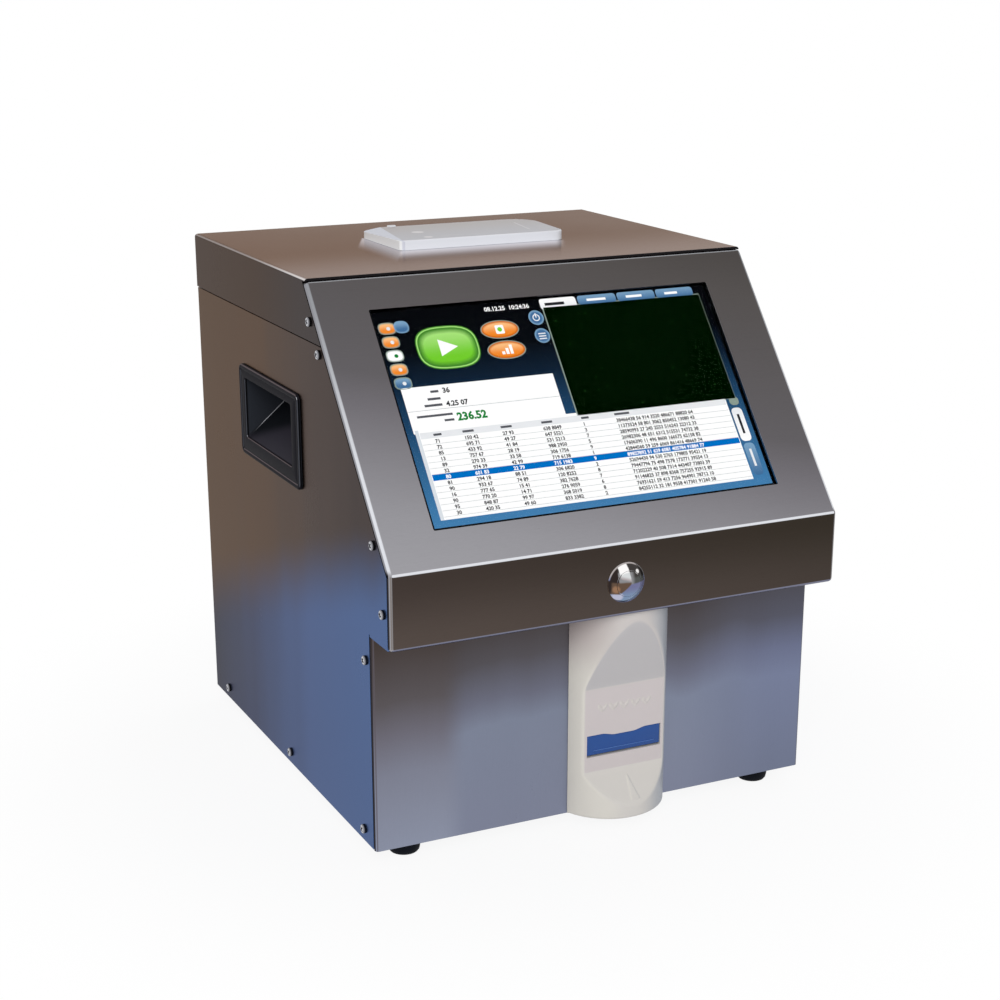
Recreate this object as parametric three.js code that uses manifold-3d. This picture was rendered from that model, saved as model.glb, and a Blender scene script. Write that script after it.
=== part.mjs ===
// A bench-top somatic cell counter: a bent steel casing with a sloped touch screen, a domed push
// button, an entrance for sample chips and a tag reader on its lid. Inside are the chip transport,
// the fluorescence optics, the boards and the power supply.
// Millimetres. X runs from left to right, Y from the front to the back, Z up. The pieces are drawn
// from the lower front panel's outer face (Y = 0), the casing's middle (X = 0) and its underside
// (Z = 0), and the whole is moved at the end so that the origin lies under the middle of its box.

import * as THREE from 'three';
import { mergeVertices } from 'three/addons/utils/BufferGeometryUtils.js';
import Module from 'manifold-3d';

// Casing
const caseWidth = 290;
const caseDepth = 299;
const caseHeight = 318;
const chinOverhang = 27.3; // the chin stands this far in front of the lower panel
const chinBottom = 131;
const chinTop = 175;
const slopeSetback = 91; // from the lower panel back to the top of the slope
const sheet = 1.5;
const rim = 3; // depth of the short bent edges that meet the side panels
const panelGap = 1.2; // the open joint behind those bent edges
const lidSkirt = 35; // height of the lid's bent-down edges
const seamHeight = caseHeight - lidSkirt;
const seamGap = 0.6;
const tray = { flange: 13, screwHeight: 7.5 };
const innerFlange = 16; // depth of the flanges that the side screws enter
const screwInset = 10; // side screws behind the panel edge that they follow
const chipPathX = 12; // the chip's way in lies right of the middle
const stageWidth = 96;

// Fits
const clearance = 0.3;
const seat = 0.15; // heads, feet and trims against the sheet that they sit on
const runningFit = 0.1;
const overrun = 5; // how far a cutting tool runs past what it cuts
const overlap = 0.2; // how far a flange is sunk into the sheet that it grows from
const weldDistance = 0.0005;

// Counts of flat sides on round things
const fineSides = 24;
const midSides = 16;
const smallSides = 8;

const finishes = {
  steel: { color: 0x9b9793, roughness: 0.34, metalness: 1 },
  chrome: { color: 0xd6d8dc, roughness: 0.08, metalness: 1 },
  zinc: { color: 0xb4b6b8, roughness: 0.3, metalness: 1 },
  aluminium: { color: 0xb9bcc0, roughness: 0.4, metalness: 1 },
  brass: { color: 0xb8924a, roughness: 0.35, metalness: 1 },
  springSteel: { color: 0x77797c, roughness: 0.3, metalness: 1 },
  handleBlack: { color: 0x1b1b1f, roughness: 0.45, metalness: 0 },
  moduleBeige: { color: 0xc9c4bd, roughness: 0.5, metalness: 0 },
  shutterBlue: { color: 0x2f4a94, roughness: 0.4, metalness: 0 },
  readerWhite: { color: 0xcfcfd6, roughness: 0.45, metalness: 0 },
  rubber: { color: 0x141418, roughness: 0.85, metalness: 0 },
  glass: { color: 0x0b1118, roughness: 0.05, metalness: 0 },
  display: { color: 0x101418, roughness: 0.4, metalness: 0 },
  board: { color: 0x1f6a3c, roughness: 0.5, metalness: 0 },
  plastic: { color: 0x202124, roughness: 0.5, metalness: 0 },
  motor: { color: 0x2a2b2e, roughness: 0.4, metalness: 0.6 },
};

// Solids

const wasm = await Module();
wasm.setup();

// One geometry with shared corners and without the flat triangles that poles leave.
function welded(geometry) {
  const bare = geometry.clone();
  Object.keys(bare.attributes).filter((name) => name !== 'position').forEach((name) => bare.deleteAttribute(name));
  const merged = mergeVertices(bare, weldDistance);
  const ids = merged.index.array;
  const kept = [];
  for (let i = 0; i < ids.length; i += 3) {
    const [a, b, c] = [ids[i], ids[i + 1], ids[i + 2]];
    if (a !== b && b !== c && a !== c) kept.push(a, b, c);
  }
  merged.setIndex(kept);
  return merged;
}

function signedVolume(geometry) {
  const place = geometry.attributes.position;
  const [a, b, c] = [new THREE.Vector3(), new THREE.Vector3(), new THREE.Vector3()];
  const ids = geometry.index.array;
  let volume = 0;
  for (let i = 0; i < ids.length; i += 3) {
    a.fromBufferAttribute(place, ids[i]);
    b.fromBufferAttribute(place, ids[i + 1]);
    c.fromBufferAttribute(place, ids[i + 2]);
    volume += a.dot(b.cross(c)) / 6;
  }
  return volume;
}

// The welded geometry with all faces pointing out.
function closed(geometry) {
  const merged = welded(geometry);
  if (signedVolume(merged) < 0) {
    const ids = Array.from(merged.index.array);
    for (let i = 0; i < ids.length; i += 3) [ids[i], ids[i + 1]] = [ids[i + 1], ids[i]];
    merged.setIndex(ids);
  }
  return merged;
}

function toSolid(geometry) {
  const shell = closed(geometry);
  const vertProperties = Float32Array.from(shell.attributes.position.array);
  const triVerts = Uint32Array.from(shell.index.array);
  return new wasm.Manifold(new wasm.Mesh({ numProp: 3, vertProperties, triVerts }));
}

function toGeometry(solid) {
  const mesh = solid.getMesh();
  const geometry = new THREE.BufferGeometry();
  geometry.setAttribute('position', new THREE.BufferAttribute(Float32Array.from(mesh.vertProperties), 3));
  geometry.setIndex(Array.from(mesh.triVerts));
  return geometry;
}

const join = (first, ...rest) => toGeometry(rest.reduce((sum, piece) => sum.add(toSolid(piece)), toSolid(first)));
const cut = (first, ...tools) => toGeometry(tools.reduce((left, tool) => left.subtract(toSolid(tool)), toSolid(first)));
const common = (first, second) => toGeometry(toSolid(first).intersect(toSolid(second)));

function mirrored(geometry) {
  return closed(geometry.clone().scale(-1, 1, 1));
}

// Both halves of a piece that is the same on the left and on the right.
function bothSides(geometry) {
  return [geometry, mirrored(geometry)];
}

// Shapes

const span = (centre, size) => [centre - size / 2, centre + size / 2];
const middle = ([low, high]) => (low + high) / 2;

function block(x, y, z) {
  const geometry = new THREE.BoxGeometry(x[1] - x[0], y[1] - y[0], z[1] - z[0]);
  return geometry.translate(middle(x), middle(y), middle(z));
}

// A round bar along an axis, 'x', 'y' or 'z', between two values, at two centre values in X, Y, Z order.
function bar(axis, radius, reach, centre, sides = midSides) {
  const geometry = new THREE.CylinderGeometry(radius, radius, reach[1] - reach[0], sides);
  if (axis === 'x') return geometry.rotateZ(Math.PI / 2).translate(middle(reach), centre[0], centre[1]);
  if (axis === 'y') return geometry.translate(centre[0], middle(reach), centre[1]);
  return geometry.rotateX(Math.PI / 2).translate(centre[0], centre[1], middle(reach));
}

// A closed outline whose corners are [u, v, radius]; a corner without a radius is sharp.
function outline(corners) {
  const shape = new THREE.Shape();
  const count = corners.length;
  const at = (i) => new THREE.Vector2(corners[(i + count) % count][0], corners[(i + count) % count][1]);
  corners.forEach(([u, v, radius = 0], i) => {
    const corner = at(i);
    const back = at(i - 1).sub(corner).normalize();
    const on = at(i + 1).sub(corner).normalize();
    const half = Math.acos(THREE.MathUtils.clamp(back.dot(on), -1, 1)) / 2;
    const reach = radius / Math.tan(half);
    const start = corner.clone().addScaledVector(back, reach);
    if (i === 0) shape.moveTo(start.x, start.y);
    else shape.lineTo(start.x, start.y);
    if (radius === 0) return;
    const end = corner.clone().addScaledVector(on, reach);
    const centre = corner.clone().addScaledVector(back.clone().add(on).normalize(), radius / Math.sin(half));
    const from = Math.atan2(start.y - centre.y, start.x - centre.x);
    const to = Math.atan2(end.y - centre.y, end.x - centre.x);
    shape.absarc(centre.x, centre.y, radius, from, to, back.cross(on) > 0);
  });
  shape.closePath();
  return shape;
}

const rectangle = (u, v, radius = 0) => outline([
  [u[0], v[0], radius], [u[1], v[0], radius], [u[1], v[1], radius], [u[0], v[1], radius],
]);

const axisFrames = {
  x: new THREE.Matrix4().makeBasis(new THREE.Vector3(0, 1, 0), new THREE.Vector3(0, 0, 1), new THREE.Vector3(1, 0, 0)),
  y: new THREE.Matrix4().makeBasis(new THREE.Vector3(1, 0, 0), new THREE.Vector3(0, 0, 1), new THREE.Vector3(0, -1, 0)),
  z: new THREE.Matrix4(),
};

// A prism of an outline along an axis. The outline lies in (Y, Z), (X, Z) or (X, Y). With a round,
// the edges at both ends are rounded by that radius.
function prism(axis, shape, reach, round = 0, curveSegments = 2) {
  const geometry = new THREE.ExtrudeGeometry(shape, {
    depth: reach[1] - reach[0] - 2 * round,
    curveSegments,
    bevelEnabled: round > 0,
    bevelThickness: round,
    bevelSize: round,
    bevelOffset: -round,
    bevelSegments: 3,
  });
  geometry.translate(0, 0, axis === 'y' ? -reach[1] + round : reach[0] + round);
  return geometry.applyMatrix4(axisFrames[axis]);
}

// A turned piece about Z from [radius, height] points, which start and end on the axis or close on themselves.
function turned(profile, sides = midSides) {
  const points = profile.map(([radius, height]) => new THREE.Vector2(radius, height));
  return new THREE.LatheGeometry(points, sides).rotateX(Math.PI / 2);
}

// The scene graph

const counter = new THREE.Group();

function add(name, finish, geometry, parent = counter) {
  const mesh = new THREE.Mesh(closed(geometry), new THREE.MeshStandardMaterial(finishes[finish]));
  mesh.name = name;
  parent.add(mesh);
  return mesh;
}

// The casing's outline, seen from the side

const halfWidth = caseWidth / 2;
const slopeRun = slopeSetback + chinOverhang;
const slopeRise = caseHeight - chinTop;
const slopeAngle = Math.atan2(slopeRise, slopeRun);
const slopeLength = Math.hypot(slopeRun, slopeRise);
const [slopeCos, slopeSin] = [Math.cos(slopeAngle), Math.sin(slopeAngle)];

// Y on the line that lies a depth behind the slope, at a height.
const slopeAt = (height, depth = 0) => -chinOverhang + ((height - chinTop) * slopeCos + depth) / slopeSin;
// Height of the corner between the lines that lie a depth behind the chin and behind the slope.
const cornerAt = (depth) => chinTop - (depth * (1 - slopeSin)) / slopeCos;

const sideInner = halfWidth - sheet; // inner face of the side panels
const flangeOuter = sideInner - clearance; // what stands inside them starts here
const flangeInner = flangeOuter - sheet;
const edgeBehind = rim + panelGap; // side panel edges lie this far behind the front faces
const returnTop = caseHeight - sheet - clearance; // what carries the lid ends here

// Screws: pan heads on a shank, along Z with the seat of the head at Z = 0

const screwShape = { shank: 1.5, length: 6, head: 2.8, edge: 0.7, crown: 1.8 };
const screwHole = screwShape.shank + clearance;

function screw() {
  const { shank, length, head, edge, crown } = screwShape;
  return turned([
    [0, -length], [shank, -length], [shank, 0], [head, 0], [head, edge], [head * 0.7, crown], [0, crown + overlap],
  ], smallSides);
}

// Side screws, as [Y, Z] places on the left panel: two at the top of the slope, one on the slope's
// foot, one on the chin, one on the lower panel and three along the tray.

const slopeScrewHeights = [seamHeight + screwInset + sheet, seamHeight - screwInset / 2, chinTop + screwInset + sheet];
const chinScrewHeight = chinBottom + innerFlange + overrun - sheet;
const lowerScrewHeight = chinBottom - innerFlange;
const trayScrewShares = [0.06, 0.48, 0.9];

const frontScrews = [
  ...slopeScrewHeights.map((height) => [slopeAt(height, screwInset), height]),
  [-chinOverhang + screwInset, chinScrewHeight],
  [screwInset, lowerScrewHeight],
];
const trayScrews = trayScrewShares.map((share) => [share * caseDepth, tray.screwHeight]);
const sideScrews = [...frontScrews, ...trayScrews];

const sideHoles = (places) => places.map(([y, z]) => bar('x', screwHole, [-halfWidth - overrun, -flangeInner + overrun], [y, z], smallSides));

// Handle cups, drawn on the left

const cup = {
  front: 104.5, length: 107, height: 58, belowSeam: 35, flangeCorner: 4.5, flangeThick: 2, flangeEdge: 0.8,
  frontMargin: 12.5, rearMargin: 10.5, lowMargin: 12, topMargin: 8, mouthCorner: 2, depth: 40, deepFlat: 4, wall: 2,
};
const cupFlangeY = [cup.front, cup.front + cup.length];
const cupFlangeZ = [seamHeight - cup.belowSeam - cup.height, seamHeight - cup.belowSeam];
const cupMouthY = [cupFlangeY[0] + cup.frontMargin, cupFlangeY[1] - cup.rearMargin];
const cupMouthZ = [cupFlangeZ[0] + cup.lowMargin, cupFlangeZ[1] - cup.topMargin];
const cupRise = (cupMouthZ[1] - cup.deepFlat - cupMouthZ[0]) / cup.depth;
const cupDrop = cup.wall * Math.hypot(1, cupRise);
const cupBodyY = [cupMouthY[0] - cup.wall, cupMouthY[1] + cup.wall];
const cupBodyZ = [cupMouthZ[0] - cupDrop, cupMouthZ[1] + cup.wall];

function handleCup() {
  const face = -halfWidth - seat;
  const flange = prism('x', rectangle(cupFlangeY, cupFlangeZ, cup.flangeCorner), [face - cup.flangeThick, face], cup.flangeEdge);
  const [low, high] = cupMouthZ;
  const outerDepth = cup.depth + cup.wall;
  const body = prism('y', outline([
    [face - overlap, cupBodyZ[0]], [face + outerDepth, cupBodyZ[0] + outerDepth * cupRise],
    [face + outerDepth, cupBodyZ[1]], [face - overlap, cupBodyZ[1]],
  ]), cupBodyY);
  const mouth = prism('y', outline([
    [face, low], [face + cup.depth, high - cup.deepFlat], [face + cup.depth, high], [face, high],
  ]), cupMouthY);
  const window = prism('x', rectangle(cupMouthY, cupMouthZ, cup.mouthCorner), [face - cup.flangeThick - overrun, face + overlap]);
  return cut(join(flange, body), mouth, window);
}

const cupOpening = block(
  [-halfWidth - overrun, -sideInner + overrun],
  [cupBodyY[0] - clearance, cupBodyY[1] + clearance],
  [cupBodyZ[0] - clearance, cupBodyZ[1] + clearance],
);

const leftCup = handleCup();
add('left_handle_cup', 'handleBlack', leftCup);
add('right_handle_cup', 'handleBlack', mirrored(leftCup));

// Side panels: bent in at the back, stepped and sloped in front, with a strip that backs the lid

const sidePanel = { backFlange: 14, bend: 2, tongueRise: 17, tongueRoot: 12, tongueInset: 20, notch: 1.4 };
const seamLow = seamHeight - seamGap / 2;
const rearScrewX = halfWidth - sidePanel.backFlange / 2 - sheet;
const rearScrewHeightShares = [0.07, 0.5, 0.93];
const rearScrewPlaces = rearScrewHeightShares.map((share) => share * seamHeight);

function leftSidePanel() {
  const { backFlange, bend, tongueRise, tongueRoot, tongueInset, notch } = sidePanel;
  const plan = outline([
    [-halfWidth, -chinOverhang], [-sideInner, -chinOverhang], [-sideInner, caseDepth - sheet],
    [-halfWidth + backFlange, caseDepth - sheet], [-halfWidth + backFlange, caseDepth], [-halfWidth, caseDepth, bend],
  ]);
  const profile = outline([
    [edgeBehind, 0], [edgeBehind, chinBottom + notch], [edgeBehind - panelGap, chinBottom + notch],
    [edgeBehind - panelGap, chinBottom], [-chinOverhang + edgeBehind, chinBottom],
    [-chinOverhang + edgeBehind, cornerAt(edgeBehind)], [slopeAt(seamLow, edgeBehind), seamLow],
    [caseDepth + overrun, seamLow], [caseDepth + overrun, 0],
  ]);
  const bent = common(prism('z', plan, [0, seamLow]), prism('x', profile, [-halfWidth - overrun, -halfWidth + backFlange + overrun]));
  const tongueY = [slopeSetback + tongueInset, caseDepth - tongueInset];
  const root = block([-sideInner - overlap, -flangeInner], tongueY, [seamLow - tongueRoot, seamLow - sheet]);
  const tongue = block([-flangeOuter, -flangeInner], tongueY, [seamLow - tongueRoot, seamLow + tongueRise]);
  const rearHoles = rearScrewPlaces.map((z) => bar('y', screwHole, [caseDepth - sheet - overrun, caseDepth + overrun], [-rearScrewX, z], smallSides));
  const ownScrews = sideScrews.filter((place) => place[1] < seamHeight);
  return cut(join(bent, root, tongue), cupOpening, ...sideHoles(ownScrews), ...rearHoles);
}

const leftPanel = leftSidePanel();
add('left_side_panel', 'steel', leftPanel);
add('right_side_panel', 'steel', mirrored(leftPanel));

// Base tray with feet

const foot = {
  radius: 9.8, height: 10, inX: 24, inY: 16, sole: 7.4, shoulder: 9.2, shoulderRise: 1.8, sink: 4.4, sinkDepth: 4,
  stem: 2.3, barb: 3.2, barbTip: 1.6, barbRise: 3,
};
const footBore = foot.stem + clearance;
const footX = halfWidth - foot.inX;
const footPlaces = { front: foot.inY, rear: caseDepth - foot.inY };
const board = { fromSide: 9, fromRear: 5, besideStage: 8, length: 154, rise: 12.5, thick: 1.6, post: 3, postInset: 6, rearPostInset: 24 };
const boardX = [board.fromSide - halfWidth, chipPathX - stageWidth / 2 - board.besideStage];
const boardY = [caseDepth - board.fromRear - board.length, caseDepth - board.fromRear];
const boardBase = sheet + board.rise;

function baseTray() {
  const y = [sheet + clearance, caseDepth - sheet - clearance];
  const shell = block([-flangeOuter, flangeOuter], y, [0, tray.flange]);
  const inside = block([-flangeInner, flangeInner], [y[0] + sheet, y[1] - sheet], [sheet, tray.flange + overrun]);
  const holes = Object.values(footPlaces).map((place) => bar('z', footBore, [-overrun, sheet + overrun], [footX, place], smallSides));
  const postY = [boardY[0] + board.postInset, boardY[1] - board.rearPostInset];
  const posts = postY.flatMap((place) => [boardX[0] + board.postInset, boardX[1] - board.postInset].map((x) => bar(
    'z', board.post, [sheet - overlap, boardBase - seat], [x, place], 6,
  )));
  return join(cut(shell, inside, ...[...holes, ...sideHoles(trayScrews)].flatMap(bothSides)), ...posts);
}

add('base_tray', 'steel', baseTray());

// A rubber foot pushed through the tray by a barbed stem, with a moulding recess in its sole.
function rubberFoot() {
  const { radius, height, sole, shoulder, shoulderRise, sink, sinkDepth, stem, barb, barbTip, barbRise } = foot;
  const stemTop = sheet + seat;
  return turned([
    [0, sinkDepth - height], [sink, sinkDepth - height], [sink, -height], [sole, -height],
    [shoulder, shoulderRise - height], [radius, -height / 2], [radius, -seat], [stem, -seat],
    [stem, stemTop], [barb, stemTop], [barbTip, stemTop + barbRise], [0, stemTop + barbRise],
  ]);
}

for (const [where, y] of Object.entries(footPlaces)) {
  add(`${where}_left_foot`, 'rubber', rubberFoot()).position.set(-footX, y, 0);
  add(`${where}_right_foot`, 'rubber', rubberFoot()).position.set(footX, y, 0);
}

// Lid: three edges bent down, the front edge open over the fascia's return

const lid = { bend: 2 };
const seamTop = seamHeight + seamGap / 2;

function topLid() {
  const shell = prism('z', rectangle([-halfWidth, halfWidth], [-overrun, caseDepth]), [seamTop - lid.bend - overrun, caseHeight], lid.bend);
  const inside = block([-sideInner, sideInner], [-2 * overrun, caseDepth - sheet], [-overrun, caseHeight - sheet]);
  const below = block([-caseWidth, caseWidth], [-caseDepth, 2 * caseDepth], [0, seamTop]);
  const ahead = block([-caseWidth, caseWidth], [-caseDepth, slopeSetback], [returnTop, 2 * caseHeight]);
  const flangeCut = prism('x', outline([
    [slopeAt(0, edgeBehind), 0], [slopeAt(returnTop, edgeBehind), returnTop], [-caseDepth, returnTop], [-caseDepth, 0],
  ]), [-caseWidth, caseWidth]);
  const lidScrews = sideScrews.filter((place) => place[1] > seamHeight);
  return cut(shell, inside, below, ahead, flangeCut, ...sideHoles(lidScrews).flatMap(bothSides));
}

add('top_lid', 'steel', topLid());

// Fascia: slope and chin in one sheet, rounded into short rims at both sides, with a return under
// the lid, an underside back to the lower panel and flanges inside the side panels

const fascia = { sideBend: 2.3, chinBend: 3, lipBend: 2.5, topBend: 2.6, topReturn: 14, relief: 1.8 };
const screen = { sideMargin: 32.9, lowMargin: 22.9, topMargin: 23.2, corner: 1 };
const screenHalf = halfWidth - screen.sideMargin;
const screenSpan = [screen.lowMargin, slopeLength - screen.topMargin];
const stud = { radius: 1.5, length: 8, fromGlassEdge: 7, inFromEnds: 24 };
const glassMargin = 5; // the glass reaches this far behind the window's edge
const frameWall = 1.5;
const studX = screenHalf + glassMargin + clearance + frameWall + stud.fromGlassEdge;
const studSpan = [screenSpan[0] + stud.inFromEnds, screenSpan[1] - stud.inFromEnds];
const button = {
  x: 1, rise: 20.4, flange: 12, barrel: 9.2, bore: 7.9, barrelLength: 18, flangeEdge: 0.5, shoulder: 11.1,
  ring: 9.6, lip: 8.2, crown: 5.5, stem: 3, stemLength: 14,
  capSkirt: 4, nutHead: 13, nutThick: 4, switchDepth: 13, terminal: 1, terminalLength: 5,
};
const capShares = [0.85, 0.6, 0.3]; // rings of the cap's dome, from its edge to its crown
const buttonHeight = chinBottom + button.rise;
const slopeFrame = new THREE.Matrix4().makeRotationX(slopeAngle).setPosition(0, -chinOverhang, chinTop);

// The side outline of what lies a depth behind the front faces; its open back can be moved to the rear.
function frontOutline(depth, back = 0) {
  const bend = (radius) => Math.max(radius - depth, 0);
  const top = returnTop - depth;
  const returnEnd = slopeAt(returnTop) + fascia.topReturn;
  const stub = rim + fascia.sideBend;
  return outline([
    [returnEnd + back, top - stub], [returnEnd + back, top], [slopeAt(top, depth), top, bend(fascia.topBend)],
    [-chinOverhang + depth, cornerAt(depth), bend(fascia.chinBend)],
    [-chinOverhang + depth, chinBottom + depth, bend(fascia.lipBend)],
    [-clearance + back, chinBottom + depth], [-clearance + back, chinBottom + depth + stub],
  ]);
}

function screenFascia() {
  const { sideBend, topReturn, relief } = fascia;
  const full = [-halfWidth - overrun, halfWidth + overrun];
  const outer = prism('x', frontOutline(0), [-halfWidth, halfWidth], sideBend);
  const inner = prism('x', frontOutline(sheet, overrun), [-sideInner, sideInner]);
  const behindRim = prism('x', frontOutline(rim, overrun), full);
  const farBack = slopeAt(returnTop) + topReturn + overrun;
  const besideRim = prism('x', outline([
    [-chinOverhang + rim, chinBottom - overrun], [-chinOverhang + rim, cornerAt(rim)],
    [slopeAt(caseHeight, rim), caseHeight], [farBack, caseHeight], [farBack, chinBottom - overrun],
  ]), [flangeOuter, halfWidth + overrun]);
  const skin = cut(outer, inner, behindRim, ...bothSides(besideRim));
  const flange = cut(
    prism('x', frontOutline(sheet - overlap), [flangeInner, flangeOuter]),
    prism('x', frontOutline(innerFlange, overrun), full),
  );
  const studs = studSpan.map((s) => bar('z', stud.radius, [-sheet - stud.length, -sheet + overlap], [studX, s], smallSides).applyMatrix4(slopeFrame));
  const window = prism('z', rectangle([-screenHalf, screenHalf], screenSpan, screen.corner), [-rim - overrun, overrun]);
  const buttonHole = bar('y', button.barrel + clearance, span(-chinOverhang, 2 * overrun), [button.x, buttonHeight], fineSides);
  const notch = block([sideInner - overlap, halfWidth + overrun], span(rim - chinOverhang, relief), span(cornerAt(rim), relief));
  return cut(
    join(skin, ...[flange, ...studs].flatMap(bothSides)),
    window.applyMatrix4(slopeFrame), buttonHole, ...bothSides(notch), ...sideHoles(frontScrews.slice(0, -1)).flatMap(bothSides),
  );
}

add('screen_fascia', 'steel', screenFascia());

// Push button: a domed ring with a threaded barrel, the moving cap, its nut and the switch behind.
// Turned about Z with the chin's face at Z = 0 and then laid so that Z points out of the chin.

const ontoChin = (geometry) => geometry.rotateX(Math.PI / 2).translate(button.x, -chinOverhang, buttonHeight);

// One dome runs over ring and cap; its height at a radius.
const domeRadius = (button.flange ** 2 + button.crown ** 2) / (2 * button.crown);
const domeAt = (radius) => Math.sqrt(domeRadius ** 2 - radius ** 2) - domeRadius + button.crown;

add('button_bezel', 'chrome', ontoChin(turned([
  [button.bore, -button.barrelLength], [button.barrel, -button.barrelLength], [button.barrel, seat], [button.flange, seat],
  [button.flange, button.flangeEdge], [button.shoulder, domeAt(button.shoulder)], [button.ring, domeAt(button.ring)],
  [button.lip, domeAt(button.lip)], [button.bore, domeAt(button.lip) - overlap], [button.bore, -button.barrelLength],
], fineSides)));

const capRadius = button.bore - clearance;
const capDome = capShares.map((share) => share * capRadius).map((radius) => [radius, domeAt(radius)]);
add('button_cap', 'chrome', ontoChin(turned([
  [0, -button.stemLength], [button.stem, -button.stemLength], [button.stem, -button.capSkirt], [capRadius, -button.capSkirt],
  [capRadius, domeAt(button.lip)], ...capDome, [0, button.crown],
], fineSides)));

const nutBack = -sheet - seat;
add('button_nut', 'zinc', ontoChin(cut(
  bar('z', button.nutHead, [nutBack - button.nutThick, nutBack], [0, 0], 6),
  bar('z', button.barrel + runningFit, [nutBack - button.nutThick - overrun, overrun], [0, 0], fineSides),
)));

function switchBlock() {
  const front = -button.barrelLength - seat;
  const back = front - button.switchDepth;
  const terminals = [-1, 1].map((side) => bar('z', button.terminal, [back - button.terminalLength, back + overlap], [(side * button.bore) / 2, 0], smallSides));
  return join(bar('z', button.barrel, [back, front], [0, 0]), ...terminals);
}

add('button_switch', 'plastic', ontoChin(switchBlock()));

// Entrance: a bulged moulding with a scoop, a slot and a sleeve that reaches into the casing

const entrance = {
  halfWidth: 33, bulge: 23, scoopDepth: 13.4, flatZ: [27.4, 81.8], upperReach: 123, lowerReach: 8.5, wall: 2.5,
  slotWidth: 50.2, slotZ: [37.8, 51.7], dip: 1.6, dipFlat: 12, dipShoulder: 9, sleeveWall: 2, sleeveRise: 3, sleeveBack: 10,
  arrowWidth: 5.6, arrowHeight: 0.5, arrowX: 1.6,
};
const arrowShares = [0.2, 0.9]; // where the insertion arrow starts and ends, along the scoop's floor
const shutter = { recess: 0.6, thick: 1.6, pivotBack: 5, pivotDrop: 1.7, barrel: 2.2, pin: 1, webDrop: 2.6, webThick: 1.8 };
const shutterSpring = { wire: 0.35, pitch: 1.25, turns: 4 };
const bulgeRadius = (entrance.halfWidth ** 2 + entrance.bulge ** 2) / (2 * entrance.bulge);
const bulgeY = bulgeRadius - entrance.bulge;
const scoopY = entrance.scoopDepth - entrance.bulge;
const moduleTop = chinBottom - clearance;
const sleeveX = span(chipPathX, entrance.slotWidth + 2 * clearance);
const sleeveZ = [entrance.slotZ[0], entrance.slotZ[1] + entrance.sleeveRise];
const grown = ([low, high], margin) => [low - margin, high + margin];
const slotFloor = entrance.slotZ[0];
const pivot = { y: scoopY + shutter.pivotBack, z: entrance.slotZ[1] - shutter.pivotDrop };
// The flap ends far enough above the slot's floor for its front edge to swing past.
const flapReach = Math.sqrt((pivot.z - slotFloor - clearance) ** 2 - (shutter.pivotBack - shutter.recess) ** 2);

// The bulge in plan, for a radius, closed by a straight back.
function bulgePlan(radius, back) {
  const shape = new THREE.Shape();
  const rise = back - bulgeY;
  const reach = Math.sqrt(radius ** 2 - rise ** 2);
  shape.absarc(chipPathX, bulgeY, radius, Math.atan2(rise, -reach), Math.atan2(rise, reach), false);
  shape.closePath();
  return shape;
}

// The scoop seen from the side: an upper slope, a flat and a floor, moved back by a wall's thickness.
function scoopProfile(wall) {
  const { bulge, scoopDepth, flatZ, upperReach, lowerReach } = entrance;
  const rise = (upperReach - flatZ[1]) / scoopDepth;
  const fall = (flatZ[0] - lowerReach) / scoopDepth;
  const upper = (y) => flatZ[1] + (scoopY - y) * rise + wall * Math.hypot(1, rise);
  const lower = (y) => flatZ[0] - (scoopY - y) * fall - wall * Math.hypot(1, fall);
  const [back, front] = [scoopY + wall, -bulge - overrun];
  return outline([[back, lower(back)], [back, upper(back)], [front, upper(front)], [front, lower(front)]]);
}

// The slot in (X, Z): a rectangle whose top edge dips in the middle, made smaller by an inset.
function slotShape(inset, low = slotFloor + inset) {
  const { slotWidth, slotZ, dip, dipFlat, dipShoulder } = entrance;
  const x = chipPathX;
  const [left, right] = span(x, slotWidth - 2 * inset);
  const high = slotZ[1] - inset;
  const shape = new THREE.Shape();
  const [flatEnd, shoulderEnd] = [dipFlat / 2, dipFlat / 2 + dipShoulder];
  const bendTo = (from, to, height) => shape.bezierCurveTo(middle([from, to]), shape.currentPoint.y, middle([from, to]), height, to, height);
  shape.moveTo(left, low);
  shape.lineTo(right, low);
  shape.lineTo(right, high);
  shape.lineTo(x + shoulderEnd, high);
  bendTo(x + shoulderEnd, x + flatEnd, high - dip);
  shape.lineTo(x - flatEnd, high - dip);
  bendTo(x - flatEnd, x - shoulderEnd, high);
  shape.lineTo(left, high);
  shape.closePath();
  return shape;
}

function insertionArrow() {
  const { bulge, scoopDepth, flatZ, lowerReach, arrowWidth, arrowHeight, arrowX } = entrance;
  const fall = flatZ[0] - lowerReach;
  const length = Math.hypot(scoopDepth, fall);
  const [start, tip] = arrowShares.map((share) => share * length);
  const mark = prism('z', outline([[-arrowWidth / 2, start], [arrowWidth / 2, start], [0, tip]]), [-overlap, arrowHeight]);
  return mark.rotateX(Math.atan2(fall, scoopDepth)).translate(chipPathX + arrowX, -bulge, lowerReach);
}

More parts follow.
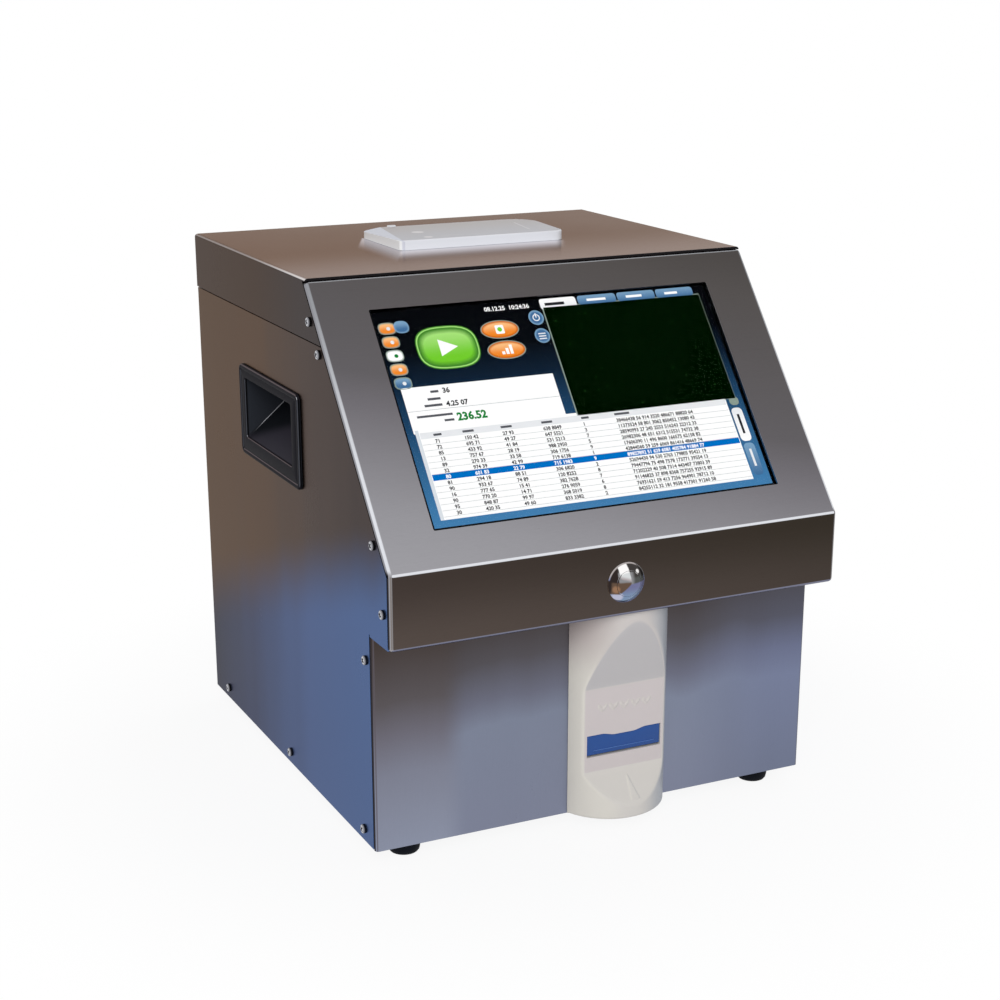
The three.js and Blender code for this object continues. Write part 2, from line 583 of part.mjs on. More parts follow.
function entranceBezel() {
  const { wall, sleeveWall, sleeveBack } = entrance;
  const wide = span(chipPathX, 3 * entrance.halfWidth);
  const body = cut(prism('z', bulgePlan(bulgeRadius, -seat), [0, moduleTop], 0, 8), prism('x', scoopProfile(0), wide));
  const hollow = cut(
    prism('z', bulgePlan(bulgeRadius - wall, overrun), [wall, moduleTop - wall], 0, 8),
    prism('x', scoopProfile(wall), wide),
  );
  const sleeve = block(grown(sleeveX, sleeveWall), [scoopY + overlap, sleeveBack], grown(sleeveZ, sleeveWall));
  const passage = block(sleeveX, [scoopY + wall, sleeveBack + overrun], sleeveZ);
  const slot = prism('y', slotShape(0), [scoopY - overrun, scoopY + wall + overlap]);
  const pinHoles = bar('x', shutter.pin + runningFit, grown(sleeveX, sleeveWall + overrun), [pivot.y, pivot.z], smallSides);
  return cut(join(cut(body, hollow), sleeve, insertionArrow()), passage, slot, pinHoles);
}

add('entrance_bezel', 'moduleBeige', entranceBezel());

const springSpace = shutterSpring.turns * shutterSpring.pitch + 4 * shutterSpring.wire;
const barrelX = [sleeveX[0] + clearance, sleeveX[1] - springSpace - clearance];

function entranceShutter() {
  const { recess, thick, barrel, pin, webDrop, webThick } = shutter;
  const face = [scoopY + recess, scoopY + recess + thick];
  const plate = prism('y', slotShape(clearance, pivot.z - flapReach), face);
  const web = block(barrelX, [face[1] - overlap, pivot.y], [pivot.z - webDrop, pivot.z - webDrop + webThick]);
  return cut(
    join(plate, web, bar('x', barrel, barrelX, [pivot.y, pivot.z])),
    bar('x', pin + runningFit, grown(barrelX, overrun), [pivot.y, pivot.z], smallSides),
  );
}

add('entrance_shutter', 'shutterBlue', entranceShutter());
add('shutter_pin', 'zinc', bar('x', shutter.pin, grown(sleeveX, entrance.sleeveWall - clearance), [pivot.y, pivot.z], smallSides));

// A coil of round wire about X, as one tube along a helix.
function coil({ wire, pitch, turns }, radius, from) {
  class Helix extends THREE.Curve {
    getPoint(t, target = new THREE.Vector3()) {
      const angle = t * turns * 2 * Math.PI;
      return target.set(from + t * turns * pitch, radius * Math.cos(angle), radius * Math.sin(angle));
    }
  }
  const section = new THREE.Shape().absarc(0, 0, wire, 0, 2 * Math.PI, false);
  return new THREE.ExtrudeGeometry(section, { extrudePath: new Helix(), steps: turns * smallSides, curveSegments: 2, bevelEnabled: false });
}

const coilRadius = shutter.pin + clearance + shutterSpring.wire;
add('shutter_spring', 'springSteel', coil(shutterSpring, coilRadius, barrelX[1] + clearance + shutterSpring.wire)
  .translate(0, pivot.y, pivot.z));

// Lower front panel, bent back at both sides, with a tab behind the chin's underside

const lowerPanel = { bend: 2, tab: 7 };

function lowerFrontPanel() {
  const { bend, tab } = lowerPanel;
  const plan = outline([
    [-halfWidth, rim], [-halfWidth, 0, bend], [halfWidth, 0, bend], [halfWidth, rim],
    [sideInner, rim], [sideInner, sheet], [-sideInner, sheet], [-sideInner, rim],
  ]);
  const face = prism('z', plan, [0, moduleTop]);
  const upper = block(grown([-flangeInner, flangeInner], -clearance), [0, sheet], [moduleTop - overlap, chinBottom + tab]);
  const flange = block([flangeInner, flangeOuter], [sheet - overlap, innerFlange], [tray.flange + clearance, chinBottom - sheet]);
  const opening = block(grown(sleeveX, entrance.sleeveWall + clearance), span(0, 2 * overrun), grown(sleeveZ, entrance.sleeveWall + clearance));
  return cut(join(face, upper, ...bothSides(flange)), opening, ...sideHoles(frontScrews.slice(-1)).flatMap(bothSides));
}

add('lower_front_panel', 'steel', lowerFrontPanel());

// The screws of the left side, heads out
const sideScrewNames = [
  'left_lid_screw', 'left_slope_top_screw', 'left_slope_foot_screw', 'left_chin_screw', 'left_lower_panel_screw',
  'left_tray_front_screw', 'left_tray_middle_screw', 'left_tray_rear_screw',
];
sideScrews.forEach(([y, z], i) => {
  const placed = add(sideScrewNames[i], 'zinc', screw());
  placed.rotation.y = -Math.PI / 2;
  placed.position.set(-halfWidth - seat, y, z);
});

// Display, in the slope's own frame: X, up the slope, and out of it

const slope = new THREE.Group();
slope.position.set(0, -chinOverhang, chinTop);
slope.rotation.x = slopeAngle;
counter.add(slope);

const display = { glass: 1.8, panel: 5, back: 1.2, tabThick: 1.5, tabHalf: 6, tabEdge: 5, panelInset: 1 };
const glassX = [-screenHalf - glassMargin, screenHalf + glassMargin];
const glassSpan = grown(screenSpan, glassMargin);
const glassFace = -sheet - clearance;
const panelFace = glassFace - display.glass - clearance;
const frameFloor = panelFace - display.panel - clearance;
const frameBack = frameFloor - display.back;

add('touch_glass', 'glass', block(glassX, glassSpan, [glassFace - display.glass, glassFace]), slope);
add('lcd_panel', 'display', block(
  grown(glassX, -display.panelInset), grown(glassSpan, -display.panelInset), [panelFace - display.panel, panelFace],
), slope);

function displayFrame() {
  const { tabThick, tabHalf, tabEdge } = display;
  const tray = cut(
    block(grown(glassX, clearance + frameWall), grown(glassSpan, clearance + frameWall), [frameBack, glassFace]),
    block(grown(glassX, clearance), grown(glassSpan, clearance), [frameFloor, overrun]),
  );
  const tabs = studSpan.map((s) => block([glassX[1] + clearance + frameWall - overlap, studX + tabEdge], span(s, 2 * tabHalf), [glassFace - tabThick, glassFace]));
  const holes = studSpan.map((s) => bar('z', stud.radius + clearance, span(glassFace, 2 * overrun), [studX, s], smallSides));
  return cut(join(tray, ...tabs.flatMap(bothSides)), ...holes.flatMap(bothSides));
}

add('display_frame', 'zinc', displayFrame(), slope);

const computer = { halfWidth: 80, length: 100, board: 1.6, stand: 4, post: 2.5, postInset: 6, sink: [50, 50], sinkHeight: 8, fins: 5, plug: [60, 12, 6] };

function panelComputer() {
  const { halfWidth: half, board, stand, post, postInset, sink, sinkHeight, fins, plug } = computer;
  const top = frameBack - clearance;
  const face = top - stand;
  const along = span(middle(screenSpan), computer.length);
  const plate = block([-half, half], along, [face - board, face]);
  const posts = along.flatMap((end, i) => bothSides(bar('z', post, [face - overlap, top], [half - postInset, end + (i ? -postInset : postInset)], smallSides)));
  const centre = middle(along);
  const pitch = sink[0] / fins;
  const base = block(span(0, sink[0]), span(centre, sink[1]), [face - board - sinkHeight / 4, face - board + overlap]);
  const finRow = Array.from({ length: fins }, (_, i) => block(
    span((i - (fins - 1) / 2) * pitch, pitch / 4), span(centre, sink[1]), [face - board - sinkHeight, face - board],
  ));
  const socket = block(span(-half / 2, plug[0]), span(along[0] + plug[1], plug[1]), [face - board - plug[2], face - board + overlap]);
  return join(plate, ...posts, base, ...finRow, socket);
}

add('panel_computer', 'board', panelComputer(), slope);

// Chip transport: a base, two guide rods, a carriage on a lead screw and its motor

const stage = {
  plate: 4, deck: 12, legRadius: 4, legInset: 8, front: 14, blockDepth: 6, rodRadius: 3, rodX: 30, axisHeight: 30,
  blockHalf: 38, blockRise: 8, carriageStart: 22, carriageLength: 60, carriageHalf: 38, carriageRise: 5, deckThick: 5,
  chipDepth: 1.2, travel: 80, slack: 4, screwRadius: 3, screwLead: 10, couplerRadius: 7, couplerLength: 14, couplerGap: 3, motorSize: 28,
  motorLength: 32, motorShaft: 2.4,
};
const carriageY = [stage.carriageStart, stage.carriageStart + stage.carriageLength];
const stopY = [carriageY[1] + stage.travel + stage.slack, carriageY[1] + stage.travel + stage.slack + stage.blockDepth];
const couplerY = [stopY[1] + stage.couplerGap, stopY[1] + stage.couplerGap + stage.couplerLength];
const mountY = [couplerY[1] + stage.couplerGap, couplerY[1] + stage.couplerGap + stage.blockDepth];
const deckTop = stage.deck + stage.plate;

function stageBase() {
  const { deck, legRadius, legInset, front, blockDepth, rodX, rodRadius, axisHeight, blockHalf, blockRise, screwRadius } = stage;
  const frontY = [front, front + blockDepth];
  const plate = block(span(chipPathX, stageWidth), [front, mountY[1]], [deck, deckTop]);
  const walls = [frontY, stopY, mountY].map((y) => block(span(chipPathX, 2 * blockHalf), y, [deckTop - overlap, axisHeight + blockRise]));
  const legs = [front + legInset, mountY[1] - legInset].flatMap((y) => [-1, 1].map((side) => bar(
    'z', legRadius, [sheet + seat, deck + overlap], [chipPathX + side * (stageWidth / 2 - legInset), y],
  )));
  const rodHoles = [-1, 1].map((side) => bar('y', rodRadius + runningFit, [front - overrun, stopY[1] + overrun], [chipPathX + side * rodX, axisHeight]));
  const screwHoles = bar('y', screwRadius + clearance, [front + sheet, stopY[1] + overrun], [chipPathX, axisHeight]);
  const shaftHole = bar('y', stage.couplerRadius / 2, grown(mountY, overlap), [chipPathX, axisHeight]);
  return cut(join(plate, ...walls, ...legs), ...rodHoles, screwHoles, shaftHole);
}

add('stage_base', 'aluminium', stageBase());
const rodY = [stage.front - clearance, stopY[1] + clearance];
add('left_guide_rod', 'chrome', bar('y', stage.rodRadius, rodY, [chipPathX - stage.rodX, stage.axisHeight]));
add('right_guide_rod', 'chrome', bar('y', stage.rodRadius, rodY, [chipPathX + stage.rodX, stage.axisHeight]));

const carriageTop = stage.axisHeight + stage.carriageRise + stage.deckThick;

function chipCarriage() {
  const { rodX, rodRadius, axisHeight, carriageHalf, carriageRise, chipDepth, screwRadius } = stage;
  const body = block(span(chipPathX, 2 * carriageHalf), carriageY, [axisHeight - carriageRise, carriageTop]);
  const bed = block(sleeveX, grown(carriageY, overrun), [carriageTop - chipDepth, carriageTop + overrun]);
  const rodHoles = [-1, 1].map((side) => bar('y', rodRadius + runningFit, grown(carriageY, overrun), [chipPathX + side * rodX, axisHeight]));
  const screwHoleY = bar('y', screwRadius + runningFit, grown(carriageY, overrun), [chipPathX, axisHeight]);
  return cut(body, bed, ...rodHoles, screwHoleY);
}

add('chip_carriage', 'aluminium', chipCarriage());
add('lead_screw', 'brass', bar('y', stage.screwRadius, [stage.front + stage.blockDepth / 2, couplerY[0] + stage.couplerLength / 2 - clearance], [chipPathX, stage.axisHeight]));
add('motor_coupler', 'zinc', cut(
  bar('y', stage.couplerRadius, couplerY, [chipPathX, stage.axisHeight]),
  bar('y', stage.screwRadius + runningFit, grown(couplerY, overrun), [chipPathX, stage.axisHeight]),
));

// A stepping motor with its shaft, on an axis.
function steppingMotor(axis, size, length, face, shaft, shaftReach, centre) {
  const away = Math.sign(face - shaftReach);
  const body = [face, face + away * length].sort((a, b) => a - b);
  const reach = [shaftReach, face + away * overlap].sort((a, b) => a - b);
  const square = rectangle(span(centre[0], size), span(centre[1], size), size / 10);
  return join(prism(axis, square, body, 0, 1), bar(axis, shaft, reach, centre, smallSides));
}

const motorFace = mountY[1] + seat;
add('stage_motor', 'motor', steppingMotor(
  'y', stage.motorSize, stage.motorLength, motorFace, stage.motorShaft, couplerY[0] + stage.couplerLength / 2 + clearance, [chipPathX, stage.axisHeight],
));

// Optics: a gantry over the chip's reading place, with a focus carriage in front of its wall

const optics = {
  legWidth: 6, legReach: 32, wallY: 18, wallThick: 6, wallBottom: 48, wallTop: 150, shelf: 4, shelfReach: 24,
  slideHalf: 22, slideThick: 6, slideZ: [60, 105], slideEar: 10, armZ: [84, 94], armHalf: 16,
  objectiveRadius: 11, objectiveZ: [46, 110], noseRadius: 5, noseRise: 8, shoulderRise: 22, focusTravel: 3,
  focusScrew: 2.5, focusScrewX: 24, cube: 30, cubeGap: 2, cubeHeight: 28, cameraHalf: 16, cameraDepth: 30, lensRadius: 9, lensDepth: 6,
  lampRadius: 11, lampLength: 24, lampFins: 3, finDepth: 2.5,
};
const readY = middle(carriageY) + stage.travel;
const wallFace = readY + optics.wallY;
const cubeZ = [optics.objectiveZ[1] + optics.focusTravel + optics.cubeGap, optics.objectiveZ[1] + optics.focusTravel + optics.cubeGap + optics.cubeHeight];
const cubeY = [readY - optics.cube / 2, wallFace - clearance];
const focusScrewPlace = [chipPathX + optics.focusScrewX, wallFace - clearance - optics.slideThick / 2];

function opticsColumn() {
  const { legWidth, legReach, wallThick, wallBottom, wallTop, shelf, shelfReach } = optics;
  const outer = stageWidth / 2;
  const back = wallFace + wallThick;
  const legs = [-1, 1].map((side) => block(
    [chipPathX + side * outer, chipPathX + side * (outer - legWidth)].sort((a, b) => a - b), [back - legReach, back], [deckTop + seat, wallTop],
  ));
  const wall = block(span(chipPathX, 2 * outer), [wallFace, back], [wallBottom, wallTop]);
  const shelfPlate = block(span(chipPathX, 2 * outer), [wallFace - shelfReach, back], [wallTop - shelf, wallTop]);
  const screwHoleZ = bar('z', optics.focusScrew + clearance, span(wallTop, 4 * overrun), focusScrewPlace);
  return cut(join(wall, ...legs, shelfPlate), screwHoleZ);
}

add('optics_column', 'aluminium', opticsColumn());

function focusCarriage() {
  const { slideHalf, slideThick, slideZ, slideEar, armZ, armHalf, objectiveRadius, focusScrew } = optics;
  const slideY = [wallFace - clearance - slideThick, wallFace - clearance];
  const slide = block([chipPathX - slideHalf, chipPathX + slideHalf + slideEar], slideY, slideZ);
  const arm = block(span(chipPathX, 2 * armHalf), [readY - armHalf, slideY[0] + overlap], armZ);
  const screwHoleZ = bar('z', focusScrew + runningFit, grown(slideZ, overrun), focusScrewPlace);
  const seatHole = bar('z', objectiveRadius + runningFit, grown(armZ, overrun), [chipPathX, readY]);
  return cut(join(slide, arm), screwHoleZ, seatHole);
}

add('focus_carriage', 'aluminium', focusCarriage());
add('objective_lens', 'brass', turned([
  [0, optics.objectiveZ[0]], [optics.noseRadius, optics.objectiveZ[0]], [optics.noseRadius * 1.4, optics.objectiveZ[0] + optics.noseRise],
  [optics.objectiveRadius, optics.objectiveZ[0] + optics.shoulderRise], [optics.objectiveRadius, optics.objectiveZ[1]], [0, optics.objectiveZ[1]],
]).translate(chipPathX, readY, 0));

const shaftJoin = optics.wallTop - optics.shelf - optics.cubeGap;
add('focus_screw', 'zinc', bar('z', optics.focusScrew, [optics.slideZ[0] - optics.focusTravel - seat, shaftJoin], focusScrewPlace));
add('focus_motor', 'motor', steppingMotor(
  'z', stage.motorSize, stage.motorSize, optics.wallTop + seat, optics.focusScrew, shaftJoin + clearance, focusScrewPlace,
));

function filterCube() {
  const { cube } = optics;
  const body = block(span(chipPathX, cube), cubeY, cubeZ);
  const lightPath = bar('z', cube / 4, [cubeZ[0] - overrun, cubeZ[1] - sheet], [chipPathX, readY]);
  const sidePath = bar('y', cube / 4, [cubeY[0] - overrun, readY], [chipPathX, middle(cubeZ)]);
  return cut(body, lightPath, sidePath);
}

add('filter_cube', 'plastic', filterCube());

function ledSource() {
  const { cube, lampRadius, lampLength, lampFins, finDepth } = optics;
  const end = chipPathX - cube / 2 - seat;
  const pitch = lampLength / (2 * lampFins + 1);
  const grooves = Array.from({ length: lampFins }, (_, i) => {
    const reach = [end - (2 * i + 2) * pitch, end - (2 * i + 1) * pitch];
    return cut(bar('x', lampRadius + overrun, reach, [readY, middle(cubeZ)]), bar('x', lampRadius - finDepth, grown(reach, overrun), [readY, middle(cubeZ)]));
  });
  return cut(bar('x', lampRadius, [end - lampLength, end], [readY, middle(cubeZ)]), ...grooves);
}

add('led_source', 'aluminium', ledSource());

function cameraModule() {
  const { cameraHalf, cameraDepth, lensRadius, lensDepth } = optics;
  const lensY = [cubeY[0] - seat - lensDepth, cubeY[0] - seat];
  const body = block(span(chipPathX, 2 * cameraHalf), [lensY[0] - cameraDepth, lensY[0] + overlap], span(middle(cubeZ), 2 * cameraHalf));
  return join(body, bar('y', lensRadius, lensY, [chipPathX, middle(cubeZ)]));
}

add('camera_module', 'plastic', cameraModule());

// Rear panel, on the side panels' bent edges, and what it carries

const rear = { margin: 5, low: 6, corner: 3, slotHeight: 3.4, slotPitch: 7, web: 4, ventFromSide: 70, ventHalf: 35, ventRows: 6 };
const fan = { size: 60, depth: 15, fromSide: 73, belowSeam: 51, bore: 28, hub: 12, hubThick: 2, strut: 3, struts: 3, pitch: 50, blades: 7, bladeThick: 1.2, bladeTurn: 35, tipGap: 1, hubGap: 0.6 };
const inlet = { fromSide: 61, height: 72, flangeX: 25, flangeZ: 11.5, flangeThick: 2.5, corner: 3, bodyX: 13.6, bodyZ: 9.8, depth: 22, socketX: 12, socketZ: 8, chamfer: 3.4, socketDepth: 16, bladeHalfX: 1, bladeHalfZ: 2.4, bladeReach: 12, bladeX: 7, earth: 2.6, screwX: 20 };
const rocker = { beside: 38, flangeX: 9, flangeZ: 13.5, flangeThick: 2, bodyX: 7.4, bodyZ: 11.6, depth: 16, mouthX: 6, mouthZ: 10.6, mouthDepth: 13, half: 5.6, tilt: 8, pivotIn: 1.4 };
const rockerShape = { foot: 2.5, footDrop: 7, end: 9.2, lip: 3.6, waist: 1.6 };
const ports = { corner: 0.8, proud: 0.6, netFromBoard: 40, netHalf: 8, netHeight: 14, netMouth: [6, 4], netDepth: 13, netLength: 18, usbFromBoard: 70, usbHalf: 7.4, usbHeight: 15.4, usbMouth: [6.4, 2.6], usbDepth: 11, usbLength: 16, usbPitch: 7.4 };
const netX = boardX[0] + ports.netFromBoard;
const usbX = boardX[0] + ports.usbFromBoard;
const rearFace = caseDepth + seat + sheet;
const boardTop = boardBase + board.thick;
const portBase = boardTop + seat;

const fanX = fan.fromSide - halfWidth;
const fanHeight = seamHeight - fan.belowSeam;
const inletX = halfWidth - inlet.fromSide;
const rockerX = inletX - rocker.beside;

const square = (x, halfX, z, halfZ, corner = 0) => rectangle([x - halfX, x + halfX], [z - halfZ, z + halfZ], corner);
const fanScrewPlaces = [-1, 1].flatMap((sideX) => [-1, 1].map((sideZ) => [fanX + (sideX * fan.pitch) / 2, fanHeight + (sideZ * fan.pitch) / 2]));
const inletScrewPlaces = [-1, 1].map((side) => [inletX + side * inlet.screwX, inlet.height]);
const rearScrewsAt = [-1, 1].flatMap((side) => rearScrewPlaces.map((z) => [side * rearScrewX, z]));

// A row of two slots with a web between them, cut through the panel.
function slotRow(x, half, height) {
  const { slotHeight, web } = rear;
  const length = half - web / 2;
  const slot = (side) => square(x + side * (web + length) / 2, length / 2, height, slotHeight / 2, slotHeight / 2 - overlap);
  return [-1, 1].map((side) => prism('y', slot(side), span(caseDepth, 4 * overrun), 0, 1));
}

function fanSlots() {
  const rows = Math.floor(fan.bore / rear.slotPitch);
  return Array.from({ length: 2 * rows - 1 }, (_, i) => {
    const offset = (i - rows + 1) * rear.slotPitch;
    return slotRow(fanX, Math.sqrt(fan.bore ** 2 - offset ** 2) - rear.slotHeight, fanHeight + offset);
  });
}

function ventSlots() {
  return Array.from({ length: rear.ventRows }, (_, i) => (
    slotRow(halfWidth - rear.ventFromSide, rear.ventHalf, fanHeight + (i - (rear.ventRows - 1) / 2) * rear.slotPitch)
  ));
}

function rearPanel() {
  const plate = prism('y', rectangle([rear.margin - halfWidth, halfWidth - rear.margin], [rear.low, seamLow], rear.corner), [caseDepth + seat, rearFace]);
  const through = span(caseDepth, 4 * overrun);
  const holes = [...rearScrewsAt, ...fanScrewPlaces, ...inletScrewPlaces].map((place) => bar('y', screwHole, through, place, smallSides));
  const cutouts = [
    square(inletX, inlet.bodyX + clearance, inlet.height, inlet.bodyZ + clearance),
    square(rockerX, rocker.bodyX + clearance, inlet.height, rocker.bodyZ + clearance),
    square(netX, ports.netHalf + clearance, portBase + ports.netHeight / 2, ports.netHeight / 2 + clearance),
    square(usbX, ports.usbHalf + clearance, portBase + ports.usbHeight / 2, ports.usbHeight / 2 + clearance),
  ].map((shape) => prism('y', shape, through));
  return cut(plate, ...holes, ...cutouts, ...[...fanSlots(), ...ventSlots()].flat());
}

add('rear_panel', 'steel', rearPanel());
const fanY = [caseDepth - fan.depth, caseDepth];

function fanFrame() {
  const { size, bore, hub, hubThick, strut, struts } = fan;
  const body = prism('y', square(fanX, size / 2, fanHeight, size / 2, strut), fanY, 0, 1);
  const holes = fanScrewPlaces.map((place) => bar('y', screwHole, grown(fanY, overrun), place, smallSides));
  const ring = cut(body, bar('y', bore, grown(fanY, overrun), [fanX, fanHeight], fineSides), ...holes);
  const plate = bar('y', hub, [fanY[0], fanY[0] + hubThick], [fanX, fanHeight]);
  const arms = Array.from({ length: struts }, (_, i) => block([0, bore + overlap], [0, hubThick], span(0, strut))
    .rotateY((i * 2 * Math.PI) / struts).translate(fanX, fanY[0], fanHeight));
  return join(ring, plate, ...arms);
}

function fanRotor() {
  const { bore, hub, hubThick, hubGap, blades, bladeThick, bladeTurn, tipGap } = fan;
  const reach = [fanY[0] + hubThick + hubGap, fanY[1] - hubGap];
  const chord = (reach[1] - reach[0]) * 0.8;
  const vanes = Array.from({ length: blades }, (_, i) => block([hub / 2, bore - tipGap], span(0, chord), span(0, bladeThick))
    .rotateX(THREE.MathUtils.degToRad(bladeTurn)).rotateY((i * 2 * Math.PI) / blades).translate(fanX, middle(reach), fanHeight));
  return join(bar('y', hub, reach, [fanX, fanHeight]), ...vanes);
}

add('fan_frame', 'plastic', fanFrame());
add('fan_rotor', 'plastic', fanRotor());

function powerInlet() {
  const { height, flangeX, flangeZ, flangeThick, corner, bodyX, bodyZ, depth, socketX, socketZ, chamfer, socketDepth, bladeHalfX, bladeHalfZ, bladeReach, bladeX, earth } = inlet;
  const x = inletX;
  const face = rearFace + seat;
  const mouth = face + flangeThick;
  const flange = prism('y', square(x, flangeX, height, flangeZ, corner), [face, mouth]);
  const body = block(span(x, 2 * bodyX), [face - depth, face + overlap], span(height, 2 * bodyZ));
  const socket = prism('y', outline([
    [x - socketX, height - socketZ], [x + socketX, height - socketZ], [x + socketX, height + socketZ - chamfer],
    [x + socketX - chamfer, height + socketZ], [x - socketX + chamfer, height + socketZ], [x - socketX, height + socketZ - chamfer],
  ]), [mouth - socketDepth, mouth + overrun]);
  const pinY = [mouth - socketDepth - overlap, mouth - socketDepth + bladeReach];
  const pins = [[-bladeX, -earth], [0, earth], [bladeX, -earth]].map(([dx, dz]) => block(span(x + dx, 2 * bladeHalfX), pinY, span(height + dz, 2 * bladeHalfZ)));
  const holes = inletScrewPlaces.map((place) => bar('y', screwHole, grown([face, mouth], overrun), place, smallSides));
  return join(cut(join(flange, body), socket, ...holes), ...pins);
}

add('power_inlet', 'plastic', powerInlet());

function rockerFrame() {
  const { flangeX, flangeZ, flangeThick, bodyX, bodyZ, depth, mouthX, mouthZ, mouthDepth } = rocker;
  const x = rockerX;
  const face = rearFace + seat;
  const flange = prism('y', square(x, flangeX, inlet.height, flangeZ, flangeThick), [face, face + flangeThick], 0, 1);
  const body = block(span(x, 2 * bodyX), [face - depth, face + overlap], span(inlet.height, 2 * bodyZ));
  const mouth = block(span(x, 2 * mouthX), [face + flangeThick - mouthDepth, face + flangeThick + overrun], span(inlet.height, 2 * mouthZ));
  return cut(join(flange, body), mouth);
}

const rockerPivot = rearFace + seat + rocker.flangeThick - rocker.pivotIn;

function powerRocker() {
  const { foot: base, footDrop, end, lip, waist } = rockerShape;
  const profile = outline([[-footDrop, -base], [0, -end], [lip, -end], [waist, 0], [lip, end], [0, end], [-footDrop, base]]);
  return prism('x', profile, [-rocker.half, rocker.half]).rotateX(THREE.MathUtils.degToRad(rocker.tilt)).translate(rockerX, rockerPivot, inlet.height);
}

add('rocker_frame', 'plastic', rockerFrame());
add('power_rocker', 'plastic', powerRocker());

// A metal socket shell on the main board with its mouths, each [height, half width, half height].
function socketShell(x, half, height, length, depth, mouths) {
  const face = rearFace + ports.proud;
  const shell = prism('y', square(x, half, portBase + height / 2, height / 2, ports.corner), [face - length, face], 0, 1);
  return cut(shell, ...mouths.map(([z, halfX, halfZ]) => block(span(x, 2 * halfX), [face - depth, face + overrun], span(z, 2 * halfZ))));
}

const netMiddle = portBase + ports.netHeight / 2;
const usbMiddle = portBase + ports.usbHeight / 2;
add('network_port', 'zinc', socketShell(netX, ports.netHalf, ports.netHeight, ports.netLength, ports.netDepth, [[netMiddle, ...ports.netMouth]]));
add('usb_ports', 'zinc', socketShell(usbX, ports.usbHalf, ports.usbHeight, ports.usbLength, ports.usbDepth, [-1, 1].map((side) => [
  usbMiddle + (side * ports.usbPitch) / 2, ...ports.usbMouth,
])));

// Main board on the tray's posts, and the power supply

const boardParts = { sink: [26, 26, 12], chip: [14, 14, 2], plug: [8, 30, 9], coil: 7, coilHeight: 9 };

function mainBoard() {
  const { sink, chip, plug, coil: coilRadiusOnBoard, coilHeight } = boardParts;
  const plate = block(boardX, boardY, [boardTop - board.thick, boardTop]);
  const onBoard = (shareX, shareY, [width, depth, height]) => block(
    span(boardX[0] + shareX * (boardX[1] - boardX[0]), width), span(boardY[0] + shareY * board.length, depth),
    [boardTop - overlap, boardTop + height],
  );
  const drum = bar('z', coilRadiusOnBoard, [boardTop - overlap, boardTop + coilHeight], [boardX[0] + board.postInset * 3, boardY[0] + board.postInset * 5]);
  return join(plate, onBoard(0.55, 0.5, sink), onBoard(0.8, 0.75, chip), onBoard(0.25, 0.65, chip), onBoard(0.92, 0.35, plug), onBoard(0.5, 0.14, chip), drum);
}

add('main_board', 'board', mainBoard());
const supply = { fromSide: 9, fromRear: 27, besideStage: 4, length: 106, height: 38, corner: 2, terminal: [40, 10, 12], terminalSink: 8 };
const supplyX = [chipPathX + stageWidth / 2 + supply.besideStage, halfWidth - supply.fromSide];
const supplyY = [caseDepth - supply.fromRear - supply.length, caseDepth - supply.fromRear];

function powerSupply() {
  const low = sheet + seat;
  const cage = prism('z', rectangle(supplyX, supplyY, supply.corner), [low, low + supply.height], 0, 1);
  const [width, depth, height] = supply.terminal;
  const recess = block(span(middle(supplyX), width + depth), [supplyY[0] - overrun, supplyY[0] + supply.terminalSink + depth], [low + height / 2, low + supply.height + overrun]);
  const strip = block(span(middle(supplyX), width), [supplyY[0] + supply.terminalSink, supplyY[0] + supply.terminalSink + depth + overlap], [low + height / 2 - overlap, low + height * 2]);
  return join(cut(cage, recess), strip);
}

add('power_supply', 'zinc', powerSupply());

// Tag reader on the lid: a shallow cover with a slanted facet at its left end, a base plate and a board

const reader = {
  left: -54, right: 60, lean: 6, fromRear: 69.5, depth: 64, height: 6.3, edge: 0.9, wall: 1.4, frontCorner: 3, sideCorner: 6, backCorner: 17,
  leftCorner: 4, facetStart: 1.5, facetReach: 15, facetDrop: 1.8, base: 1.3, boardInset: 4, boardThick: 1.2, tab: [5.5, 3, 1], tabX: -36.8,
};

const readerY = [caseDepth - reader.fromRear - reader.depth, caseDepth - reader.fromRear];

function readerPlan(inset) {
  const { left, right, lean, depth, frontCorner, sideCorner, backCorner, leftCorner } = reader;
  const [front, back] = readerY;
  const corner = (radius) => Math.max(radius - inset, 0);
  return outline([
    [left + inset, front + inset, corner(frontCorner)], [right - inset, front + inset, corner(sideCorner)],
    [right + lean - inset, back - inset, corner(backCorner)], [left + inset, back - inset, corner(leftCorner)],
  ]);
}

function readerCover() {
  const { left, depth, height, edge, wall, facetStart, facetReach, facetDrop, tab, tabX } = reader;
  const [low, high] = [caseHeight + seat, caseHeight + height];
  const shell = prism('z', readerPlan(0), [low - overrun, high], edge);
  const below = block([-caseWidth, caseWidth], [0, 2 * caseDepth], [0, low]);
  const hollow = prism('z', readerPlan(wall), [low - overrun, high - wall]);
  const turn = Math.atan2(facetReach, depth);
  const facet = prism('y', outline([[0, 0], [-2 * facetReach, -2 * facetDrop], [-2 * facetReach, height], [0, height]]), [-depth, 2 * depth])
    .rotateZ(-turn).translate(left + facetStart, readerY[0], high);
  const bump = block([tabX, tabX + tab[0]], [readerY[1] - tab[1], readerY[1]], [high - 2 * wall, high + tab[2]]);
  return cut(join(cut(shell, below, facet), bump), hollow);
}

add('reader_cover', 'readerWhite', readerCover());
const readerInner = reader.wall + clearance;
const readerFloor = caseHeight + seat;
add('reader_base', 'readerWhite', prism('z', readerPlan(readerInner), [readerFloor, readerFloor + reader.base]));
add('reader_board', 'board', prism('z', readerPlan(readerInner + reader.boardInset), [
  readerFloor + reader.base + seat, readerFloor + reader.base + seat + reader.boardThick,
]));

// The origin lies under the middle of the whole.

